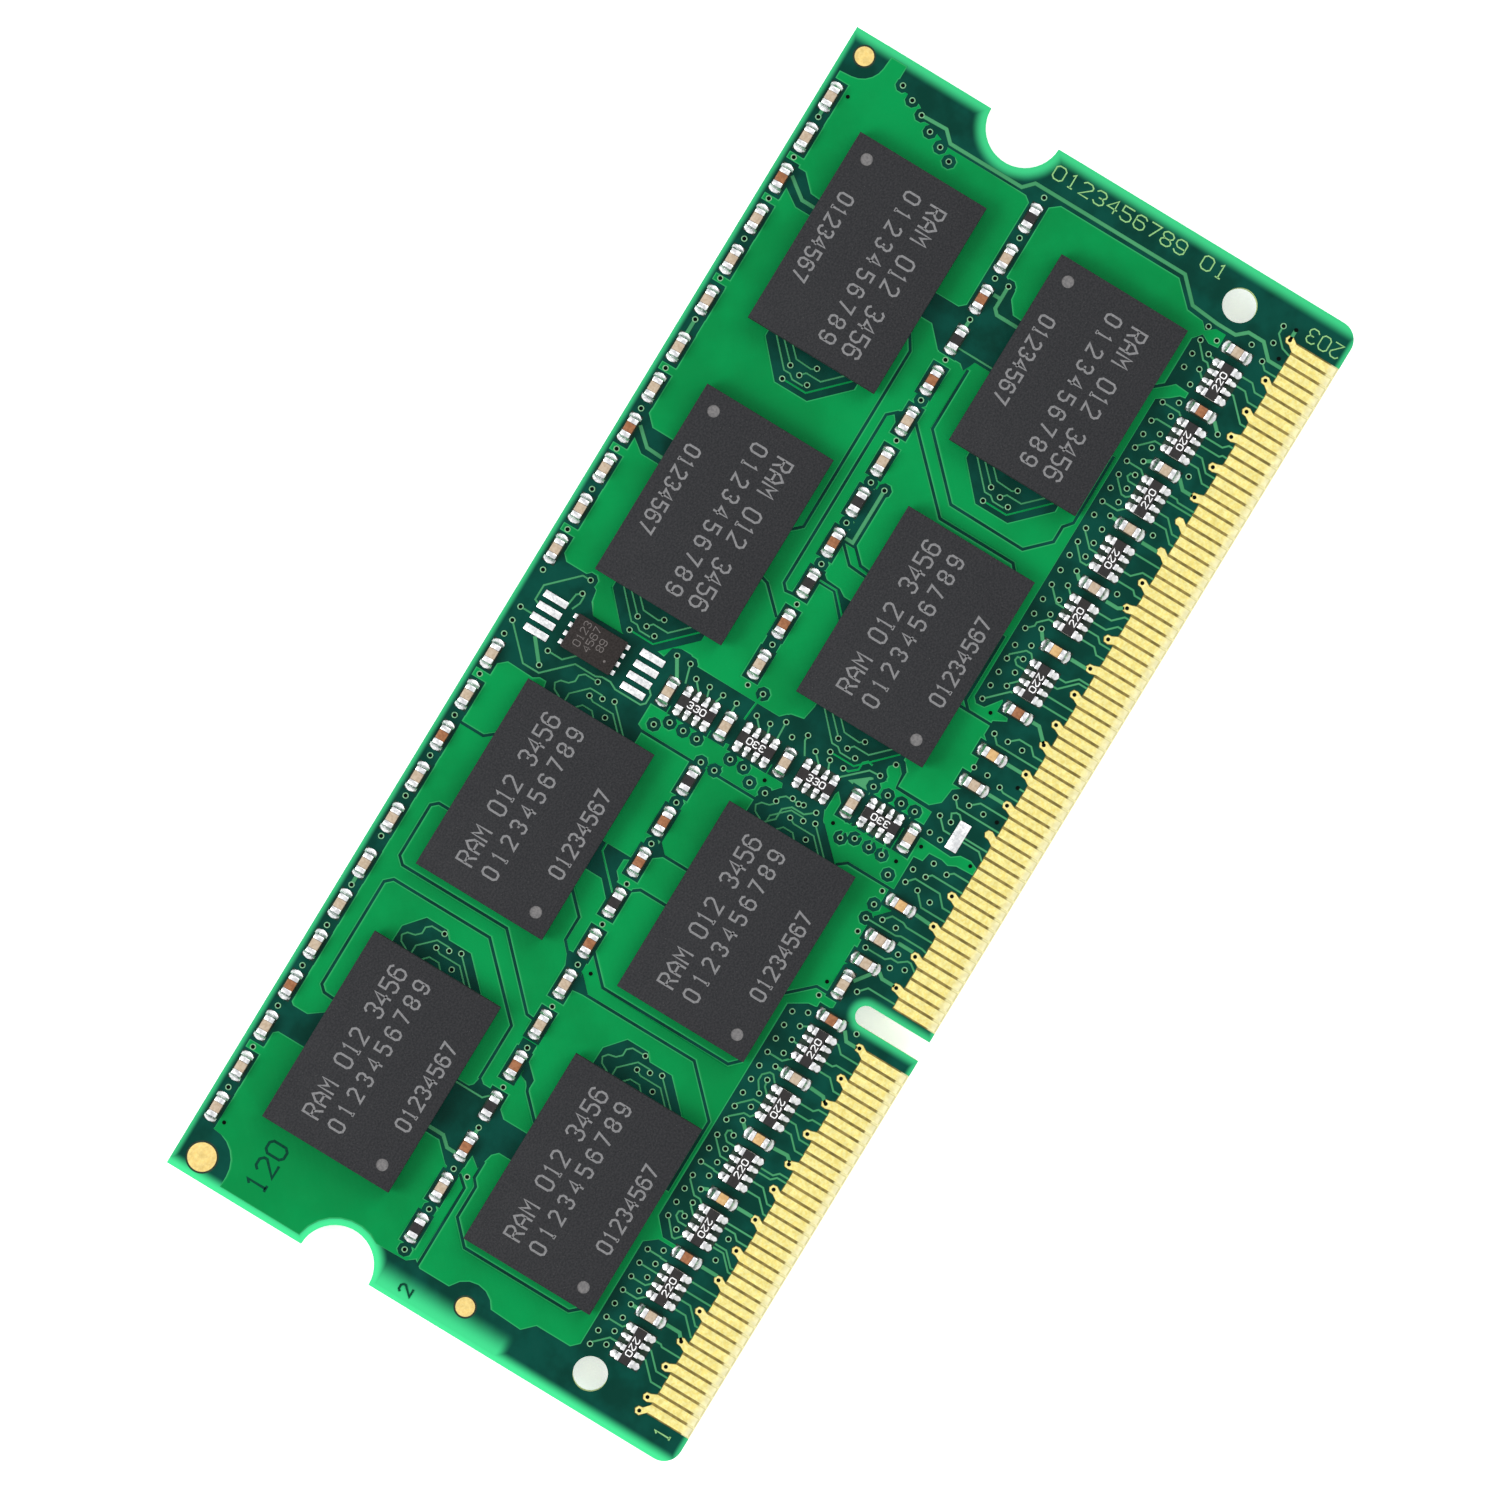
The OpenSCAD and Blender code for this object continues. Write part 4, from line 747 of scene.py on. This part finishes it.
for side in SIDES:
    node = "solder_joints_" + side.name
    shape = Shape(["solder"])
    for points in islands(node):
        shape.solid(*joint(side, points))
    shape.piece("solder_fillets_" + side.name, [node], smooth=60)

# ---------------------------------------------------------------- generic marks
GRID_W, GRID_H = 4, 6         # the grid on which a character's strokes are drawn
GLYPHS = {
    "0": [[(0, 1), (0, 5), (1, 6), (3, 6), (4, 5), (4, 1), (3, 0), (1, 0), (0, 1)]],
    "1": [[(1, 5), (2, 6), (2, 0)], [(1, 0), (3, 0)]],
    "2": [[(0, 5), (1, 6), (3, 6), (4, 5), (4, 4), (0, 0), (4, 0)]],
    "3": [[(0, 5), (1, 6), (3, 6), (4, 5), (4, 4), (3, 3), (4, 2), (4, 1), (3, 0), (1, 0), (0, 1)],
          [(1.5, 3), (3, 3)]],
    "4": [[(3, 0), (3, 6), (0, 2), (4, 2)]],
    "5": [[(4, 6), (0, 6), (0, 3.5), (3, 3.5), (4, 2.5), (4, 1), (3, 0), (1, 0), (0, 1)]],
    "6": [[(4, 5), (3, 6), (1, 6), (0, 5), (0, 1), (1, 0), (3, 0), (4, 1), (4, 2.5), (3, 3.5),
           (0, 3.5)]],
    "7": [[(0, 6), (4, 6), (1.5, 0)]],
    "8": [[(1, 3), (0, 4), (0, 5), (1, 6), (3, 6), (4, 5), (4, 4), (3, 3), (1, 3), (0, 2), (0, 1),
           (1, 0), (3, 0), (4, 1), (4, 2), (3, 3)]],
    "9": [[(0, 1), (1, 0), (3, 0), (4, 1), (4, 5), (3, 6), (1, 6), (0, 5), (0, 3.5), (1, 2.5),
           (4, 2.5)]],
    "A": [[(0, 0), (0, 4), (2, 6), (4, 4), (4, 0)], [(0, 2.5), (4, 2.5)]],
    "M": [[(0, 0), (0, 6), (2, 3), (4, 6), (4, 0)]],
    "R": [[(0, 0), (0, 6), (3, 6), (4, 5), (4, 4), (3, 3), (0, 3)], [(2, 3), (4, 0)]],
    " ": [],
}
INK = 0.006 * MM      # how far a printed mark stands out of its surface


def band(points, width, low, high):
    """A flat band along a route, with mitred corners, as (verts, faces)."""
    pts = [Vector(p) for p in points]
    closed = (pts[0] - pts[-1]).length < 1e-9
    if closed:
        pts = pts[:-1]
    n = len(pts)
    verts = []
    for i, p in enumerate(pts):
        before = (p - pts[i - 1]).normalized() if closed or i else (pts[1] - p).normalized()
        after = (pts[(i + 1) % n] - p).normalized() if closed or i < n - 1 else before
        m = before + after
        side = Vector((-m.y, m.x)) * width / max(m.length_squared, 0.8)
        for q, h in ((p + side, high), (p - side, high), (p - side, low), (p + side, low)):
            verts.append(Vector((q.x, q.y, h)))
    faces = []
    for i in range(n if closed else n - 1):
        a, b = 4 * i, 4 * ((i + 1) % n)
        faces += [[a + k, a + (k + 1) % 4, b + (k + 1) % 4, b + k] for k in range(4)]
    if not closed:
        faces += [[3, 2, 1, 0], [4 * n - 4, 4 * n - 3, 4 * n - 2, 4 * n - 1]]
    return verts, faces


def write(shape, text, place, height, advance, stroke, kind=0, width=None):
    """Adds stroked characters that start at the origin of place and run along its X."""
    width = width or advance * 0.72
    for i, char in enumerate(text):
        for route in GLYPHS[char]:
            points = [(i * advance + x / GRID_W * width, y / GRID_H * height) for x, y in route]
            shape.solid(band(points, stroke, -INK, INK), place, kind)


def frame_on(side, centre, turn, top):
    """A frame on one face, turned by turn degrees as seen from outside that face."""
    flip = Matrix.Diagonal((side.sign, 1, side.sign, 1))
    spin = Matrix.Rotation(math.radians(turn), 4, "Z")
    return Matrix.Translation((centre.x, centre.y, top)) @ flip @ spin


# ---------------------------------------------------------------- memory packages
DOT_AT = Vector((1.05 * MM, 1.0 * MM))
DOT_R = 0.32 * MM
DOT_SIDES = 28
CHIP_STROKE = 0.115 * MM
TURNED = {3, 4, 8}            # packages that stand the other way up
CHIP_LINES = (
    # text, its start, height, advance, width of a character, all in millimetres
    ("RAM 012 3456", (1.32, 4.95), 0.93, 0.745, 0.50),
    ("0123456789", (1.32, 3.58), 0.82, 0.915, 0.44),
    ("01234567", (3.12, 0.74), 0.78, 0.640, 0.42),
)


def package_form(size):
    """A moulded body with softened edges and a round dimple in its top, corner to centre."""
    half = size / 2
    crown = half.z - INK
    bevel = 0.06 * MM
    bm = bmesh.new()

    def ring(inset, z):
        corners = [(-1, -1), (1, -1), (1, 1), (-1, 1)]
        return [bm.verts.new((sx * (half.x - inset), sy * (half.y - inset), z))
                for sx, sy in corners]

    levels = [ring(0.03 * MM, -half.z), ring(0, -half.z + 0.03 * MM), ring(0, crown - bevel),
              ring(bevel * 0.3, crown - bevel * 0.3), ring(bevel, crown)]
    bm.faces.new(levels[0][::-1])
    for a, b in zip(levels, levels[1:]):
        for k in range(4):
            bm.faces.new((a[k], a[(k + 1) % 4], b[(k + 1) % 4], b[k]))
    centre = Vector((DOT_AT.x - half.x, DOT_AT.y - half.y, crown))
    dish = [(DOT_R, 0), (DOT_R - 0.01 * MM, -0.035 * MM), (DOT_R * 0.6, -0.04 * MM),
            (DOT_R * 0.25, -0.042 * MM)]
    turns = [2 * math.pi * k / DOT_SIDES for k in range(DOT_SIDES)]
    rings = [[bm.verts.new(centre + Vector((r * math.cos(a), r * math.sin(a), h))) for a in turns]
             for r, h in dish]
    for a, b in zip(rings, rings[1:]):
        for k in range(DOT_SIDES):
            after = (k + 1) % DOT_SIDES
            face = bm.faces.new((a[k], a[after], b[after], b[k]))
            face.material_index = 1
    bm.faces.new(rings[-1]).material_index = 1
    edges = [bm.edges.get((levels[-1][k], levels[-1][(k + 1) % 4])) for k in range(4)]
    edges += [bm.edges.get((rings[0][k], rings[0][(k + 1) % DOT_SIDES])) for k in range(DOT_SIDES)]
    bmesh.ops.triangle_fill(bm, edges=edges, use_beauty=True)
    bmesh.ops.recalc_face_normals(bm, faces=bm.faces)
    kinds = [f.material_index for f in bm.faces]
    verts, faces = template(bm)
    return verts, faces, kinds


for side in SIDES:
    marks = Shape(["ink"])
    for number in range(1, 9):
        node = f"memory_mould_{side.name}_{number}"
        lo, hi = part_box(node)
        centre = (lo + hi) / 2
        verts, faces, kinds = package_form(hi - lo)
        place = frame_on(side, centre, 180 if number in TURNED else 0, centre.z)
        shape = Shape(["mould", "dimple"])
        for kind in (0, 1):
            shape.solid((verts, [f for f, k in zip(faces, kinds) if k == kind]), place, kind)
        shape.piece(f"memory_package_{side.name}_{number}", [node], smooth=40)
        top = (hi.z if side is FRONT else lo.z) - INK * side.sign
        corner = place @ Vector((-(hi.x - lo.x) / 2, -(hi.y - lo.y) / 2, 0))
        printed = frame_on(side, corner, 180 if number in TURNED else 0, top)
        for text, (x, y), height, advance, width in CHIP_LINES:
            start = printed @ Matrix.Translation((x * MM, y * MM, 0))
            write(marks, text, start, height * MM, advance * MM, CHIP_STROKE, width=width * MM)
    marks.piece("package_marks_" + side.name, smooth=0)
    dress("package_substrates_" + side.name, "substrate", 0.02 * MM)
    dress("package_dies_" + side.name, "silicon", 0.01 * MM)

# Half a solder ball's outline, as (radius, height) in millimetres.
BALL = [(0.02, 0.0), (0.15, 0.02), (0.205, 0.08), (0.225, 0.15), (0.205, 0.22), (0.15, 0.28),
        (0.02, 0.30)]
ball_form = lathe([(r * MM, h * MM) for r, h in BALL], 10)
for side in SIDES:
    node = "solder_balls_" + side.name
    shape = Shape(["ball"])
    for lo, hi in boxes(node):
        base = min(lo.z, hi.z, key=side.height)
        place = Matrix.Translation(((lo.x + hi.x) / 2, (lo.y + hi.y) / 2, base))
        shape.solid(ball_form, place @ side.outwards())
    shape.piece("ball_grid_" + side.name, [node], smooth=60)

# ---------------------------------------------------------------- settings chip and bare pads
lo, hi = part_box("settings_chip")
chip = Shape(["settings_mould", "faint_ink"])
chip.solid(block(hi - lo, 0.05 * MM, 3), Matrix.Translation((lo + hi) / 2))
for row, (text, inset) in enumerate((("0123", 0.45), ("4567", 0.45), ("89", 0.80))):
    start = Vector((lo.x + inset * MM, hi.y - (0.85 + row * 0.58) * MM))
    write(chip, text, frame_on(FRONT, start, 0, hi.z), 0.38 * MM, 0.36 * MM, 0.045 * MM, 1)
chip.solid(lathe([(0.02 * MM, -INK), (0.07 * MM, -INK), (0.07 * MM, INK), (0.02 * MM, INK)], 16),
           Matrix.Translation((lo.x + 0.5 * MM, lo.y + 0.55 * MM, hi.z)), 1)
chip.piece("settings_chip_body", ["settings_chip"])
rounded_parts("settings_chip_leads", "settings_chip_feet", "solder", 0.03 * MM)
rounded_parts("spare_pads", "spare_pads_tinned", "solder", 0.035 * MM)

# ---------------------------------------------------------------- numbers on arrays and board
ARRAY_L = 1.5 * MM            # a resistor's coat is shorter than this, an array's longer
NUMBER_START = Matrix.Translation((-0.49 * MM, -0.16 * MM, 0))


def array_numbers(side, turns):
    """Prints a value on every array of a face, turned one way or the other in alternation."""
    arrays = [b for b in boxes("resistor_coats_" + side.name) if max((b[1] - b[0]).xy) > ARRAY_L]
    numbers = Shape(["white_ink"])
    for i, (lo, hi) in enumerate(sorted(arrays, key=lambda b: b[0].x)):
        top = max(lo.z, hi.z, key=side.height)
        turn = turns[i % 2]
        text = "220"
        if hi.y - lo.y > hi.x - lo.x:
            turn += 90
            text = "330"
        place = frame_on(side, (lo + hi) / 2, turn, top) @ NUMBER_START
        write(numbers, text, place, 0.32 * MM, 0.37 * MM, 0.055 * MM)
    numbers.piece("array_numbers_" + side.name, smooth=0)


array_numbers(FRONT, (180, 0))
array_numbers(BACK, (0, 180))

BOARD_MARKS = (
    # text, its start in board millimetres, turn, height, advance, stroke, material
    ("120", (1.10, 25.00), 0, 1.05, 0.98, 0.14, 1),
    ("2", (0.55, 15.90), 0, 0.68, 0.60, 0.11, 1),
    ("1", (1.05, 0.85), 0, 0.85, 0.60, 0.09, 0),
    ("203", (66.55, 0.35), 90, 0.76, 0.70, 0.065, 0),
    ("0123456789 01", (66.20, 17.60), -90, 0.72, 0.80, 0.07, 0),
)
for side in SIDES:
    shape = Shape(["pale_mark", "dark_mark"])
    for text, (x, y), turn, height, advance, stroke, kind in BOARD_MARKS:
        if side is BACK:
            text = {"1": "2", "203": "204", "2": "1"}.get(text, text)
            x += (len(text) * advance) if turn == 0 else -math.copysign(height, turn)
        surface = RIDGE if kind == 1 else MARK_BASE
        place = frame_on(side, at(x, y), turn, side.z(surface))
        write(shape, text, place, height * MM, advance * MM, stroke * MM, kind)
    shape.piece("board_marks_" + side.name, smooth=0)

# ---------------------------------------------------------------- floor, light and camera
floor_mesh = bpy.data.meshes.new("floor")
FLOOR_HALF = 1.5
corners = [(-FLOOR_HALF, -FLOOR_HALF, 0), (FLOOR_HALF, -FLOOR_HALF, 0),
           (FLOOR_HALF, FLOOR_HALF, 0), (-FLOOR_HALF, FLOOR_HALF, 0)]
floor_mesh.from_pydata(corners, [], [(0, 1, 2, 3)])
floor = bpy.data.objects.new("floor", floor_mesh)
bpy.context.scene.collection.objects.link(floor)
paper = Nodes("floor_paper", rough=0.9, specular=0.1)
paper.colour(paper.mix(paper.noise(0.05), linear(250, 250, 250), linear(253, 253, 253)))
paper.bsdf.inputs["Emission Color"].default_value = (1, 1, 1, 1)
paper.bsdf.inputs["Emission Strength"].default_value = 0.5
floor_mesh.materials.append(paper.mat)

world = bpy.data.worlds.new("studio")
world.use_nodes = True
sky = world.node_tree.nodes["Background"]
sky.inputs["Color"].default_value = (1, 1, 1, 1)
sky.inputs["Strength"].default_value = 0.85
bpy.context.scene.world = world


def softbox(name, place, size, power):
    """A square lamp that looks at the origin."""
    light = bpy.data.lights.new(name, "AREA")
    light.shape, light.size, light.energy = "SQUARE", size, power
    obj = bpy.data.objects.new(name, light)
    obj.location = place
    obj.rotation_euler = (-Vector(place)).to_track_quat("-Z", "Y").to_euler()
    bpy.context.scene.collection.objects.link(obj)


softbox("key", (-0.35, 0.45, 0.50), 0.40, 4.0)
softbox("fill", (0.50, -0.20, 0.45), 0.40, 1.5)

LENS = 200
SENSOR = 36
VIEW_WIDTH = 76.3 * MM        # what the frame spans at the board's front face
VIEW_TURN = -58.7             # degrees that the board lies turned in the frame
VIEW_SHIFT = Vector((-0.47 * MM, 0.54 * MM))
camera = bpy.data.objects.new("camera", bpy.data.cameras.new("camera"))
camera.data.lens, camera.data.sensor_width = LENS, SENSOR
camera.data.clip_start, camera.data.clip_end = 0.01, 10
camera.location = (VIEW_SHIFT.x, VIEW_SHIFT.y, FRONT.face + VIEW_WIDTH * LENS / SENSOR)
camera.rotation_euler = (0, 0, math.radians(VIEW_TURN))
bpy.context.scene.collection.objects.link(camera)
bpy.context.scene.camera = camera
bpy.context.scene.view_settings.view_transform = "Standard"
